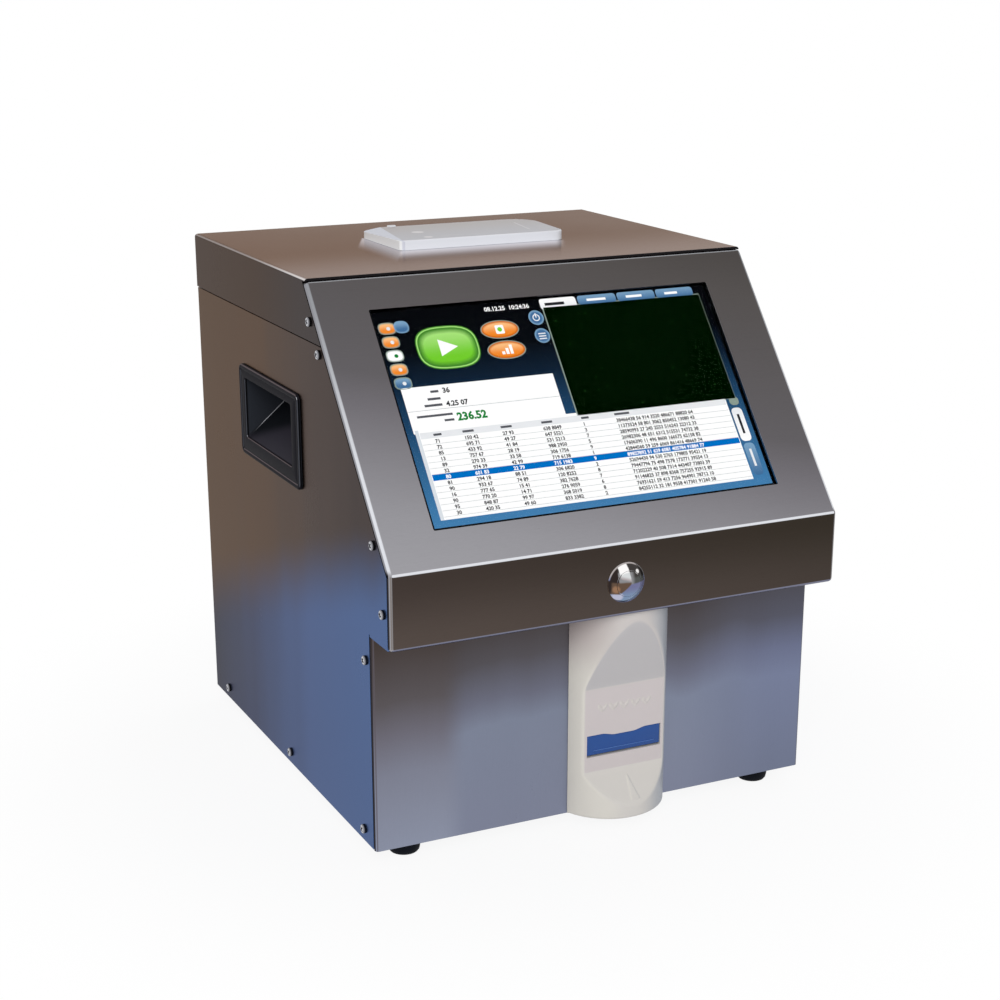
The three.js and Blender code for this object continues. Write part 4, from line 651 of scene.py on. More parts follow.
# Rings joined in a row, whose ends are capped, or joined to each other where it is closed
def lofted(form, rings, closed=False):
    made = [[form.verts.new(point) for point in ring] for ring in rings]
    bridged(form, made + made[:1] if closed else made)
    if not closed:
        form.faces.new(reversed(made[0]))
        form.faces.new(made[-1])


def turnedRings(profile, sides, place):
    angles = [2 * math.pi * i / sides for i in range(sides)]
    return [[place(radius * math.cos(a), radius * math.sin(a), rise) for a in angles] for radius, rise in profile]


def partSpot(x, y, z):
    return Vector((x, y, z)) * mm


def arcPoints(centre, radius, start, end, steps):
    turns = [math.radians(start + (end - start) * i / steps) for i in range(steps + 1)]
    return [(centre[0] + radius * math.cos(t), centre[1] + radius * math.sin(t)) for t in turns]


# How far a quarter round has come inwards and how far it has still to rise, as shares of its radius
def quarterRound(turn):
    return 1 - math.cos(math.radians(turn)), 1 - math.sin(math.radians(turn))


def roundedLoop(low, high, radius, steps=6):
    radius = min(radius, (high[0] - low[0]) / 2.01, (high[1] - low[1]) / 2.01)
    corners = [(high[0], high[1], 0), (low[0], high[1], 90), (low[0], low[1], 180), (high[0], low[1], 270)]
    loop = []
    for u, v, start in corners:
        centre = (u - radius if u == high[0] else u + radius, v - radius if v == high[1] else v + radius)
        loop += arcPoints(centre, radius, start, start + 90, steps)
    return loop


def grown(low, high, by):
    return (low[0] - by, low[1] - by), (high[0] + by, high[1] + by)


# Camera, from the casing's corners in the photograph
cameraFit = {
    "lens": 68.743, "sensor": 36, "azimuth": -25.5822, "elevation": 18.0124, "roll": -0.0719,
    "place": (-514.8, -929.8, 491.6), "shift": (0.00622, 0.07707),
}


def addCamera():
    turn, rise, roll = (math.radians(cameraFit[key]) for key in ("azimuth", "elevation", "roll"))
    back = Vector((math.sin(turn) * math.cos(rise), -math.cos(turn) * math.cos(rise), math.sin(rise)))
    level = (-back).cross(Vector((0, 0, 1))).normalized()
    over = level.cross(-back)
    right = math.cos(roll) * level + math.sin(roll) * over
    up = math.cos(roll) * over - math.sin(roll) * level
    data = bpy.data.cameras.new("camera")
    data.lens, data.sensor_width = cameraFit["lens"], cameraFit["sensor"]
    data.shift_x, data.shift_y = cameraFit["shift"]
    data.clip_start, data.clip_end = 0.01, 200
    camera = linked("camera", data)
    turned = Matrix((right, up, back)).transposed().to_4x4()
    camera.matrix_world = Matrix.Translation(spot(*cameraFit["place"])) @ turned
    bpy.context.scene.camera = camera


addCamera()

# Casing sheets: the CAD's own forms, with the lid's bent edges in a finish of their own
sheets = {
    "screen_fascia": ("fascia_sheet", steelFascia), "top_lid": ("lid_sheet", steelLid),
    "left_side_panel": ("left_side_sheet", steelSide), "right_side_panel": ("right_side_sheet", steelSide),
    "lower_front_panel": ("front_sheet", steelFront), "base_tray": ("tray_sheet", steelRear),
    "rear_panel": ("rear_sheet", steelRear),
}
sheetEdge = {"width": 0.2, "angle": 38, "flat": 0.5, "skirtRise": 0.3}


# A copy of a CAD node, merged, with its flat faces whole and its cut edges broken
def dressed(node, name, material):
    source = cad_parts[node].data
    mesh = bpy.data.meshes.new(name)
    mesh.from_pydata([v.co[:] for v in source.vertices], [], [f.vertices[:] for f in source.polygons])
    form = bmesh.new()
    form.from_mesh(mesh)
    bmesh.ops.remove_doubles(form, verts=form.verts, dist=weldDistance * mm)
    flat = math.radians(sheetEdge["flat"])
    bmesh.ops.dissolve_limit(form, angle_limit=flat, verts=form.verts, edges=form.edges)
    looseless(form, mesh, sheetEdge["angle"])
    soften(addPiece(name, mesh, material, [node]), sheetEdge["width"], sheetEdge["angle"])
    if material == steelLid:
        mesh.materials.append(steelSkirt)
        for face in mesh.polygons:
            face.material_index = 0 if face.normal.z > sheetEdge["skirtRise"] else 1


for node, (name, material) in sheets.items():
    dressed(node, name, material)
print("casing ready")


# Handle cups: a flange with a rounded edge, and a grip whose floor rises inwards
cup = {
    "low": (104.5, 190), "high": (211.5, 248), "corner": 4.5, "proud": 2, "edge": 1.2, "mouthLow": (117, 202),
    "mouthHigh": (201, 240), "mouthCorner": 2, "lip": 0.8, "depth": 40, "deepFlat": 4, "wall": 2, "seat": 0.15,
    "grooveAt": 3.2, "grooveDeep": 0.4, "step": 0.25,
}


def handleCup(side, name, node):
    def ring(out, low, high, radius):
        return [spot(side * (halfWidth + cup["seat"] + out), u, v) for u, v in roundedLoop(low, high, radius)]

    def mouthRing(depth, grow):
        rise = (cup["mouthHigh"][1] - cup["deepFlat"] - cup["mouthLow"][1]) / cup["depth"]
        low, high = grown((cup["mouthLow"][0], cup["mouthLow"][1] + depth * rise), cup["mouthHigh"], grow)
        return ring(-depth, low, high, cup["mouthCorner"] + grow)

    edge, lip, proud, wall, depth = cup["edge"], cup["lip"], cup["proud"], cup["wall"], cup["depth"]
    rings = [mouthRing(depth + wall, wall), mouthRing(0, wall), ring(0, cup["low"], cup["high"], cup["corner"])]
    for turn in range(0, 91, 15):
        inset, drop = (edge * share for share in quarterRound(turn))
        low, high = grown(cup["low"], cup["high"], -inset)
        rings.append(ring(proud - drop, low, high, cup["corner"] - inset))
    step, groove, deep = cup["step"], cup["grooveAt"], cup["grooveDeep"]
    for away, drop in ((-0.7, 0), (-0.4, 0.15), (0, deep), (0.5, deep), (0.9, step)):
        inset = groove + away
        low, high = grown(cup["low"], cup["high"], -inset)
        rings.append(ring(proud - drop, low, high, max(cup["corner"] - inset, 0.8)))
    for turn in range(90, -1, -15):
        grow, drop = (lip * share for share in quarterRound(turn))
        low, high = grown(cup["mouthLow"], cup["mouthHigh"], grow)
        rings.append(ring(proud - step - drop, low, high, cup["mouthCorner"] + grow))
    rings += [mouthRing(depth * share, 0) for share in (0.0, 0.25, 0.5, 0.75, 0.98)]
    rings.append(mouthRing(depth, -0.6))
    form = bmesh.new()
    lofted(form, rings)
    finished(name, form, 30, blackPlastic, [node])


handleCup(-1, "left_grip", "left_handle_cup")
handleCup(1, "right_grip", "right_handle_cup")

# Push button: one domed form, parted by the gap round its cap
button = {
    "x": 1, "z": 151.4, "radius": 12, "rise": 5.5, "gapInner": 7.7, "gapOuter": 7.76, "seat": 0.15, "barrel": 9.2,
    "barrelLength": 18, "stem": 3, "stemLength": 14, "skirt": 4, "roundEdge": 0.08,
}
domeRadius = (button["radius"] ** 2 + button["rise"] ** 2) / (2 * button["rise"])


def buttonSpot(x, z, out):
    return spot(button["x"] + x, -casing["overhang"] - out, button["z"] + z)


def domeRise(radius):
    return math.sqrt(domeRadius ** 2 - radius ** 2) - domeRadius + button["rise"]


def domeProfile(start, end, steps):
    first, last = (math.asin(radius / domeRadius) for radius in (start, end))
    radii = [domeRadius * math.sin(first + (last - first) * i / steps) for i in range(steps + 1)]
    return [(radius, max(domeRise(radius), button["seat"])) for radius in radii]


def pushButton():
    inner, outer, soft = button["gapInner"], button["gapOuter"], button["roundEdge"]
    barrel, back = button["barrel"], -button["barrelLength"]
    ring = [(outer, back), (barrel, back), (barrel, button["seat"])]
    ring += domeProfile(button["radius"], outer + soft, 24)
    ring += [(outer + soft * 0.3, domeRise(outer) - soft * 0.3), (outer, domeRise(outer) - soft)]
    stem, foot, skirt = button["stem"], -button["stemLength"], -button["skirt"]
    cap = [(0.01, foot), (stem, foot), (stem, skirt), (inner, skirt), (inner, domeRise(inner) - soft)]
    cap += [(inner - soft * 0.3, domeRise(inner) - soft * 0.3)] + domeProfile(inner - soft, 0.01, 20)
    for name, profile, node, body in (
        ("button_ring", ring, "button_bezel", "casing"), ("button_dome", cap, "button_cap", "button"),
    ):
        form = bmesh.new()
        lofted(form, turnedRings(profile, 96, buttonSpot), profile == ring)
        finished(name, form, 40, buttonChrome, [node], body)


pushButton()
print("handles and button ready")

# Entrance moulding: a bulge with a scoop, a slot whose top edge dips, an arrow and a row of chevrons
entrance = {
    "x": 12, "halfWidth": 33, "bulge": 23, "scoopY": -9.6, "flatLow": 27.4, "flatHigh": 81.8, "upperReach": 123,
    "lowerReach": 8.5, "top": 130.7, "slotHalf": 25.1, "slotLow": 37.8, "slotHigh": 51.7, "dip": 1.6, "dipFlat": 6,
    "dipEnd": 15, "back": -0.15, "ridge": 1.5, "crease": 0.9, "rounding": 1.2, "wall": 2.5, "sleeveGap": 0.3,
    "sleeveRise": 3, "sleeveWall": 2, "sleeveBack": 10, "cell": 0.55, "arrowX": 1.6, "arrowHalf": 2.8,
    "arrowRise": 0.55, "arrowSpan": (10.6, 24.6), "chevrons": 5, "chevronPitch": 7.4, "chevronZ": 67,
    "chevronHalf": 2.3, "chevronWidth": 0.62, "chevronRise": 0.4,
}
bulgeRadius = (entrance["halfWidth"] ** 2 + entrance["bulge"] ** 2) / (2 * entrance["bulge"])
bulgeY = bulgeRadius - entrance["bulge"]


def softMax(first, second, reach):
    overlap = max(reach - abs(first - second), 0) / reach
    return max(first, second) + overlap * overlap * reach / 4


def scoopDepth(z):
    floor, deep, crease = entrance["scoopY"], entrance["scoopY"] + entrance["bulge"], entrance["crease"]
    low, high = entrance["flatLow"], entrance["flatHigh"]
    upper = floor - (z - high) * (deep / (entrance["upperReach"] - high))
    lower = floor - (low - z) * (deep / (low - entrance["lowerReach"]))
    return -softMax(softMax(-upper, -lower, crease), -floor, crease)


def slotTop(x):
    rise = smoothStep(abs(x), entrance["dipFlat"], entrance["dipEnd"])
    return entrance["slotHigh"] - entrance["dip"] * (1 - rise)


# How far raised marks stand out of the scoop at a place
def raisedMark(x, z):
    shape, rise = entrance, 0.0
    low, high = shape["arrowSpan"]
    share = (high - z) / (high - low)
    if 0 < share < 1:
        half, away = shape["arrowHalf"] * share, abs(x - shape["arrowX"] * (0.4 + share))
        rise = shape["arrowRise"] * (1 - smoothStep(away, half - 0.25, half + 0.45)) * smoothStep(share, 0.0, 0.1)
    width, reach = shape["chevronWidth"], shape["chevronHalf"]
    for i in range(shape["chevrons"]):
        across = x - (i - (shape["chevrons"] - 1) / 2) * shape["chevronPitch"]
        away = abs(z - shape["chevronZ"] - abs(across)) * math.sqrt(0.5)
        inside = 1 - smoothStep(away, width * 0.6, width * 1.5)
        rise = max(rise, shape["chevronRise"] * inside * (1 - smoothStep(abs(across), reach, reach + 0.7)))
    return rise


def stepsOver(marks, cell):
    values = [marks[0]]
    for low, high in zip(marks, marks[1:]):
        count = max(round((high - low) / cell), 1)
        values += [low + (high - low) * (i + 1) / count for i in range(count - 1)] + [high]
    return values


def entranceMoulding():
    shape = entrance
    reach = math.sqrt(bulgeRadius ** 2 - (shape["back"] - bulgeY) ** 2)
    columns = stepsOver([-reach, -shape["slotHalf"], shape["slotHalf"], reach], shape["cell"])
    marks = [shape["rounding"], shape["slotLow"], shape["slotHigh"], shape["top"]]
    rows = [0, 0.12, 0.35, 0.7] + stepsOver(marks, shape["cell"])
    slotRows = (rows.index(shape["slotLow"]), rows.index(shape["slotHigh"]))
    slotColumns = (columns.index(-shape["slotHalf"]), columns.index(shape["slotHalf"]))
    form = bmesh.new()

    def frontSpot(x, row):
        fade = min(max((row - shape["slotLow"]) / (shape["slotHigh"] - shape["slotLow"]), 0), 1)
        fade *= min(max((shape["slotHigh"] + 8 - row) / 8, 0), 1)
        z = row + (slotTop(x) - shape["slotHigh"]) * fade * fade
        low = max(shape["rounding"] - z, 0)
        shrink = 1 - (shape["rounding"] - math.sqrt(max(shape["rounding"] ** 2 - low * low, 0))) / bulgeRadius
        arc = bulgeY - math.sqrt(max(bulgeRadius ** 2 - x * x, 0)) * shrink
        y = softMax(arc, scoopDepth(z), shape["ridge"]) - raisedMark(x, z)
        edge = abs(x) > reach - 1e-6
        return spot(shape["x"] + x * (1 if edge else shrink), shape["back"] if edge else min(y, shape["back"]), z)

    grid = [[form.verts.new(frontSpot(x, row)) for x in columns] for row in rows]
    for i in range(len(rows) - 1):
        for j in range(len(columns) - 1):
            if slotRows[0] <= i < slotRows[1] and slotColumns[0] <= j < slotColumns[1]:
                continue
            form.faces.new((grid[i][j], grid[i][j + 1], grid[i + 1][j + 1], grid[i + 1][j]))
    form.faces.new(reversed(grid[0]))
    form.faces.new(grid[-1])
    (low, high), (left, right) = slotRows, slotColumns
    border = [(low, j) for j in range(left, right)] + [(i, right) for i in range(low, high)]
    border += [(high, j) for j in range(right, left, -1)] + [(i, left) for i in range(high, low, -1)]
    half, gap = shape["slotHalf"], shape["sleeveGap"]
    inner = ((-half - gap, shape["slotLow"]), (half + gap, shape["slotHigh"] + shape["sleeveRise"]))
    outer = grown(*inner, shape["sleeveWall"])

    def boxSpot(i, j, corners, y):
        across = (columns[j] + half) / (2 * half)
        up = (rows[i] - shape["slotLow"]) / (shape["slotHigh"] - shape["slotLow"])
        (x0, z0), (x1, z1) = corners
        return spot(shape["x"] + x0 + (x1 - x0) * across, y, z0 + (z1 - z0) * up)

    wallBack, sleeveBack = shape["scoopY"] + shape["wall"], shape["sleeveBack"]
    loops = [[grid[i][j] for i, j in border], []]
    for i, j in border:
        rise = rows[i] if i < high else slotTop(columns[j])
        loops[1].append(form.verts.new(spot(shape["x"] + columns[j], wallBack, rise)))
    for corners, y in ((inner, wallBack), (inner, sleeveBack), (outer, sleeveBack), (outer, shape["back"])):
        loops.append([form.verts.new(boxSpot(i, j, corners, y)) for i, j in border])
    bridged(form, loops)
    rim = [row[0] for row in grid] + [row[-1] for row in reversed(grid)]
    pairs = [pair for loop in (rim, loops[-1]) for pair in zip(loop, loop[1:] + loop[:1])]
    edges = [form.edges.get(pair) or form.edges.new(pair) for pair in pairs]
    bmesh.ops.triangle_fill(form, edges=edges, use_beauty=False, normal=(0, 1, 0))
    finished("entrance_moulding", form, 50, beigePlastic, ["entrance_bezel"])


entranceMoulding()

# The blue flap: a plate that fills the slot, its rib, the web and the barrel on its pin
flap = {
    "face": -9.0, "thick": 1.6, "gap": 0.3, "foot": 38.94, "ribZ": 41.1, "ribInset": 4.5, "ribRise": 0.45,
    "ribHalf": 0.55, "pivotY": -4.6, "pivotZ": 50, "barrel": 2.2, "barrelEnds": (-25.1, 18.4), "edge": 0.3,
    "webDrop": 2.6, "webThick": 1.8,
}


def boxRings(x, y, z, cut):
    rings = []
    for place, inset in ((x[0], cut), (x[0] + cut, 0), (x[1] - cut, 0), (x[1], cut)):
        low, high = grown((y[0], z[0]), (y[1], z[1]), -inset)
        rings.append([spot(place, *point) for point in roundedLoop(low, high, cut, 2)])
    return rings


def slotFlap():
    half, face, edge = entrance["slotHalf"] - flap["gap"], flap["face"], flap["edge"]
    outline = [(x, slotTop(x) - flap["gap"]) for x in reversed(stepsOver([-half, half], 1.0))]
    outline += [(-half, flap["foot"]), (half, flap["foot"])]
    middle = (flap["foot"] + entrance["slotHigh"]) / 2

    def plateRing(y, inset):
        ring = []
        for x, z in outline:
            offX = x - math.copysign(inset, x) if abs(abs(x) - half) < 1e-6 else x
            ring.append(spot(entrance["x"] + offX, y, z - math.copysign(inset, z - middle)))
        return ring

    form = bmesh.new()
    back = face + flap["thick"]
    levels = ((face, edge), (face + edge * 0.3, edge * 0.3), (face + edge, 0), (back, 0))
    lofted(form, [plateRing(y, inset) for y, inset in levels])
    ends = (entrance["x"] - half + flap["ribInset"], entrance["x"] + half - flap["ribInset"] * 0.8)
    ribZ = (flap["ribZ"] - flap["ribHalf"], flap["ribZ"] + flap["ribHalf"])
    lofted(form, boxRings(ends, (face - flap["ribRise"], face + 0.3), ribZ, 0.25))
    barrelX = [entrance["x"] + x for x in flap["barrelEnds"]]
    webZ = flap["pivotZ"] - flap["webDrop"]
    lofted(form, boxRings(barrelX, (back - 0.2, flap["pivotY"]), (webZ, webZ + flap["webThick"]), 0.1))
    profile = [(0.01, barrelX[0]), (flap["barrel"], barrelX[0]), (flap["barrel"], barrelX[1]), (0.01, barrelX[1])]
    lofted(form, turnedRings(profile, 32, lambda u, v, w: spot(w, flap["pivotY"] + u, flap["pivotZ"] + v)))
    finished("slot_flap", form, 35, flapBlue, ["entrance_shutter"], "flap")


slotFlap()
print("entrance ready")


# Geometry Nodes: one small part set on points, each turned to its point's direction and spun at random
def repeatTree():
    tree = bpy.data.node_groups.new("setOnPoints", "GeometryNodeTree")
    names = {}
    for name, kind in (
        ("Points", "Geometry"), ("Part", "Object"), ("Size", "Float"), ("Spin", "Float"), ("Seed", "Int"),
        ("Finish", "Material"),
    ):
        made = tree.interface.new_socket(name, in_out="INPUT", socket_type="NodeSocket" + kind)
        names[name] = made.identifier
    tree.interface.new_socket("Set", in_out="OUTPUT", socket_type="NodeSocketGeometry")
    nodes = {key: tree.nodes.new(kind) for key, kind in (
        ("source", "NodeGroupInput"), ("part", "GeometryNodeObjectInfo"), ("axis", "GeometryNodeInputNamedAttribute"),
        ("turn", "FunctionNodeAlignRotationToVector"), ("chance", "FunctionNodeRandomValue"),
        ("tilt", "ShaderNodeCombineXYZ"), ("spin", "FunctionNodeRotateRotation"),
        ("place", "GeometryNodeInstanceOnPoints"), ("real", "GeometryNodeRealizeInstances"),
        ("paint", "GeometryNodeSetMaterial"), ("sink", "NodeGroupOutput"),
    )}
    nodes["axis"].data_type, nodes["turn"].axis, nodes["spin"].rotation_space = "FLOAT_VECTOR", "Z", "LOCAL"
    nodes["axis"].inputs["Name"].default_value = "out"
    for start, output, end, entry in (
        ("source", "Part", "part", "Object"), ("axis", "Attribute", "turn", "Vector"), ("source", "Spin", "chance", 3),
        ("source", "Seed", "chance", "Seed"), ("chance", 1, "tilt", "Z"), ("turn", "Rotation", "spin", "Rotation"),
        ("tilt", 0, "spin", "Rotate By"), ("source", "Points", "place", "Points"),
        ("part", "Geometry", "place", "Instance"), ("spin", "Rotation", "place", "Rotation"),
        ("source", "Size", "place", "Scale"), ("place", "Instances", "real", "Geometry"),
        ("real", "Geometry", "paint", "Geometry"), ("source", "Finish", "paint", "Material"),
        ("paint", "Geometry", "sink", "Set"),
    ):
        tree.links.new(nodes[start].outputs[output], nodes[end].inputs[entry])
    return tree, names


setOnPoints, setSockets = repeatTree()


def setOn(name, part, places, material, replaced=(), spin=0.0, seed=1):
    points = bpy.data.meshes.new(name + "_points")
    points.from_pydata([place for place, _ in places], [], [])
    out = points.attributes.new("out", "FLOAT_VECTOR", "POINT")
    for i, (_, direction) in enumerate(places):
        out.data[i].vector = direction
    carrier = linked(name + "_carrier", points)
    modifier = carrier.modifiers.new("set", "NODES")
    modifier.node_group = setOnPoints
    for key, value in (("Part", part), ("Size", 1.0), ("Spin", spin), ("Seed", seed), ("Finish", material)):
        modifier[setSockets[key]] = value
    bpy.context.view_layer.update()
    shown = carrier.evaluated_get(bpy.context.evaluated_depsgraph_get())
    mesh = bpy.data.meshes.new_from_object(shown)
    bpy.data.objects.remove(carrier)
    addPiece(name, mesh, material, replaced)


def helperPart(name, form, angle):
    return linked(name, looseless(form, bpy.data.meshes.new(name), angle))


# Pan-head screws with a cross recess. Their place on the side panels follows the casing's front
screw = {
    "head": 2.8, "edge": 0.7, "crown": 1.8, "armHalf": 0.17, "armReach": 0.62, "recess": 0.95, "shank": 1.5,
    "length": 6, "seat": 0.15,
}


def screwHead():
    form = bmesh.new()
    sides = 64
    shares = [1, 0.985, 0.95, 0.88] + [0.82 - 0.06 * i for i in range(13)] + [0.05]

    def arm(across, along):
        half, reach = screw["armHalf"], screw["armReach"]
        inside = 1 - smoothStep(abs(across), half - 0.05, half + 0.05)
        return inside * (1 - smoothStep(abs(along), reach - 0.12, reach))

    def surfaceSpot(share, angle):
        u, v = share * math.cos(angle), share * math.sin(angle)
        crown = screw["edge"] + (screw["crown"] - screw["edge"]) * math.sqrt(max(1 - share ** 3, 0))
        return partSpot(u * screw["head"], v * screw["head"], crown - max(arm(u, v), arm(v, u)) * screw["recess"])

    turns = [2 * math.pi * (i + 0.5) / sides for i in range(sides)]
    levels = ((screw["shank"], -screw["length"]), (screw["shank"], 0), (screw["head"], 0))
    rings = [[partSpot(r * math.cos(t), r * math.sin(t), rise) for t in turns] for r, rise in levels]
    rings += [[surfaceSpot(share, t) for t in turns] for share in shares]
    lofted(form, rings)
    return helperPart("screw_part", form, 32)


# The screws on each side, from front to back, with the left one's CAD node
sideScrews = {
    "lid": (84.57, 294.5), "slope_top": (70.87, 278), "slope_foot": (-4.83, 186.5), "chin": (-17.3, 150.5),
    "lower_panel": (10, 115), "tray_front": (17.97, 7.5), "tray_middle": (143.47, 7.5), "tray_rear": (269.07, 7.5),
}

# Rear panel, fan and inlet: y, middle (x, z) and how far out the screws sit across and up
rearScrews = [
    (300.65, (0, 141.5), (136.5, 121.69), (-1, 0, 1)), (300.65, (-72, 232), (25, 25), (-1, 1)),
    (303.3, (84, 72), (20, 0), (1,)),
]


def setScrews():
    part, seat = screwHead(), screw["seat"]
    for side, name, seed in ((-1, "left_screws", 3), (1, "right_screws", 5)):
        places = [(spot(side * (halfWidth + seat), y, z), (side, 0, 0)) for y, z in sideScrews.values()]
        nodes = ["left_" + key + "_screw" for key in sideScrews] if side < 0 else ()
        setOn(name, part, places, screwSteel, nodes, math.pi, seed)
    places = []
    for y, (x, z), (across, up), levels in rearScrews:
        places += [(spot(x + i * across, y + seat, z + j * up), (0, 1, 0)) for i in (-1, 1) for j in levels]
    setOn("rear_screws", part, places, screwSteel, (), math.pi, 7)
    bpy.data.objects.remove(part)


setScrews()

# Nuts of the display frame, on the fascia's studs
nut = {"across": 2.75, "thick": 2.4, "bore": 1.55, "chamfer": 0.35, "x": 125.9, "along": (46.9, 138.4), "back": -3.65}


def displayNuts():
    form = bmesh.new()
    sides = 24

    def hexRadius(turn, radius):
        step = (turn + math.pi / 6) % (math.pi / 3) - math.pi / 6
        return min(nut["across"] / math.cos(step), radius)

    turns = [2 * math.pi * i / sides for i in range(sides)]
    full, cut, bore, thick = nut["across"] * 2 / math.sqrt(3), nut["chamfer"], nut["bore"], nut["thick"]
    levels = [
        (bore, 0), (full - cut, 0), (full, cut * 0.6), (full, thick - cut * 0.6), (full - cut, thick), (bore, thick)
    ]
    rings = [[(hexRadius(t, radius), t, rise) for t in turns] for radius, rise in levels]
    lofted(form, [[partSpot(r * math.cos(t), r * math.sin(t), rise) for r, t, rise in ring] for ring in rings], True)
    part = helperPart("nut_part", form, 35)
    back = (0, slopeSin, -slopeCos)
    places = [(slopeSpot(side * nut["x"], along, nut["back"]), back) for side in (-1, 1) for along in nut["along"]]
    setOn("display_nuts", part, places, screwSteel, (), math.pi, 11)
    bpy.data.objects.remove(part)


displayNuts()

# Rubber feet with a moulding recess in the sole
foot = {
    "radius": 9.8, "height": 10, "sole": 7.4, "shoulder": 9.2, "shoulderRise": 1.44, "sink": 4.4, "sinkDepth": 4,
    "stem": 2.3, "barb": 3.2, "barbTip": 1.6, "barbRise": 3, "seat": 0.15, "sheet": 1.5, "x": 121,
    "rows": {"front": 16, "rear": 283},
}


def rubberFeet():
    sole, top, radius, sink, stem = -foot["height"], -foot["seat"], foot["radius"], foot["sink"], foot["stem"]
    sinkTop, stemTop = sole + foot["sinkDepth"], foot["sheet"] + foot["seat"]
    barbTop = stemTop + foot["barbRise"]
    profile = [
        (0.01, sinkTop), (sink - 0.6, sinkTop), (sink, sinkTop - 0.6), (sink, sole + 0.3), (sink + 0.3, sole),
        (foot["sole"] - 0.2, sole), (foot["sole"] + 0.9, sole + 0.3), (foot["shoulder"], sole + foot["shoulderRise"]),
        (radius - 0.2, sole / 1.5), (radius, sole / 2), (radius, top - 1.2), (radius - 0.4, top - 0.4),
        (radius - 1.0, top), (stem, top), (stem, stemTop), (foot["barb"], stemTop), (foot["barbTip"], barbTop),
        (0.01, barbTop),
    ]
    form = bmesh.new()
    lofted(form, turnedRings(profile, 64, partSpot))
    part = helperPart("foot_part", form, 40)
    places = [(spot(side * foot["x"], y, 0), (0, 0, 1)) for y in foot["rows"].values() for side in (-1, 1)]
    nodes = [row + side + "_foot" for row in foot["rows"] for side in ("_left", "_right")]
    setOn("rubber_feet", part, places, footRubber, nodes)
    bpy.data.objects.remove(part)


rubberFeet()
print("screws, nuts and feet ready")

# Tag reader on the lid: a shallow shell with a slanted facet at its left end and a low tab at its rear edge
reader = {
    "low": (-54, 165.5), "high": (60, 229.5), "lean": 6, "base": 318.15, "top": 324.3, "corners": (3, 6, 17, 4),
    "edge": 0.9, "facetStart": -52.5, "facetTurn": (11, 64), "facetSlope": 0.16, "tabLow": (-36.8, 226.5),
    "tabHigh": (-31.3, 229.5), "tabRise": 1, "bevel": 0.3,
}


def readerPlan(inset):
    (left, front), (right, back) = reader["low"], reader["high"]
    lean = reader["lean"]
    corners = [(left, front), (right, front), (right + lean, back), (left, back)]
    ring = []
    for i, radius in enumerate(reader["corners"]):
        here = Vector(corners[i])
        before, after = ((Vector(corners[(i + step) % 4]) - here).normalized() for step in (-1, 1))
        half = before.angle(after) / 2
        centre = here + (before + after).normalized() * radius / math.sin(half)
        start = -(after - after.project(before)).normalized()
        end = -(before - before.project(after)).normalized()
        for step in range(9):
            turn = step / 8 * math.pi / 2
            way = (start * math.sin(math.pi / 2 - turn) + end * math.sin(turn)).normalized()
            ring.append(centre + way * max(radius - inset, 0.05))
    return ring


def readerShell():
    top, edge, slope = reader["top"], reader["edge"], reader["facetSlope"]
    levels = [(0, reader["base"]), (0, top - edge)]
    levels += [(edge * inset, top - edge * drop) for inset, drop in map(quarterRound, (22.5, 45, 67.5, 90))]
    form = bmesh.new()
    lofted(form, [[spot(u, v, z) for u, v in readerPlan(inset)] for inset, z in levels])
    across, along = Vector(reader["facetTurn"]).normalized()
    bisect = {
        "plane_co": spot(reader["facetStart"], reader["low"][1], top), "plane_no": (-slope * along, slope * across, 1)
    }
    cut = bmesh.ops.bisect_plane(form, geom=form.verts[:] + form.edges[:] + form.faces[:], clear_outer=True, **bisect)
    bmesh.ops.contextual_create(form, geom=[part for part in cut["geom_cut"] if isinstance(part, bmesh.types.BMEdge)])
    rise, rings = reader["tabRise"], []
    for inset, z in ((0, top - 1), (0, top + rise - 0.3), (0.3, top + rise)):
        low, high = grown(reader["tabLow"], reader["tabHigh"], -inset)
        rings.append([spot(u, v, z) for u, v in roundedLoop(low, high, 0.8, 3)])
    lofted(form, rings)
    piece = finished("reader_shell", form, 28, readerPlastic, ["reader_cover"])
    soften(piece, reader["bevel"], 5)


readerShell()

# The picture on the display, drawn as flat shapes from the top left corner of the window, in millimetres
display = {
    "left": -112.1, "top": 162.39, "border": 2.6, "topBorder": 0.6, "width": 220.6, "height": 136.3, "floor": -3.86,
    "layer": 0.017, "seed": 21, "sampleShift": 103.2, "controlShift": -110,
}
ink = toned({
    "white": (252, 252, 252), "pale": (228, 230, 233), "line": (176, 180, 184), "text": (34, 35, 40),
    "soft": (84, 86, 92), "field": (0, 9, 0), "cell": (92, 150, 90), "blue": (0, 108, 190), "tab": (62, 106, 150),
    "tabLight": (122, 160, 192), "orange": (238, 134, 40), "orangeLight": (248, 190, 130), "green": (112, 200, 44),
    "greenDark": (66, 132, 44), "greenLight": (164, 222, 120), "value": (20, 128, 52), "shade": (134, 150, 140),
})


def blended(first, second, share):
    return tuple(a + (b - a) * share for a, b in zip(first, second))


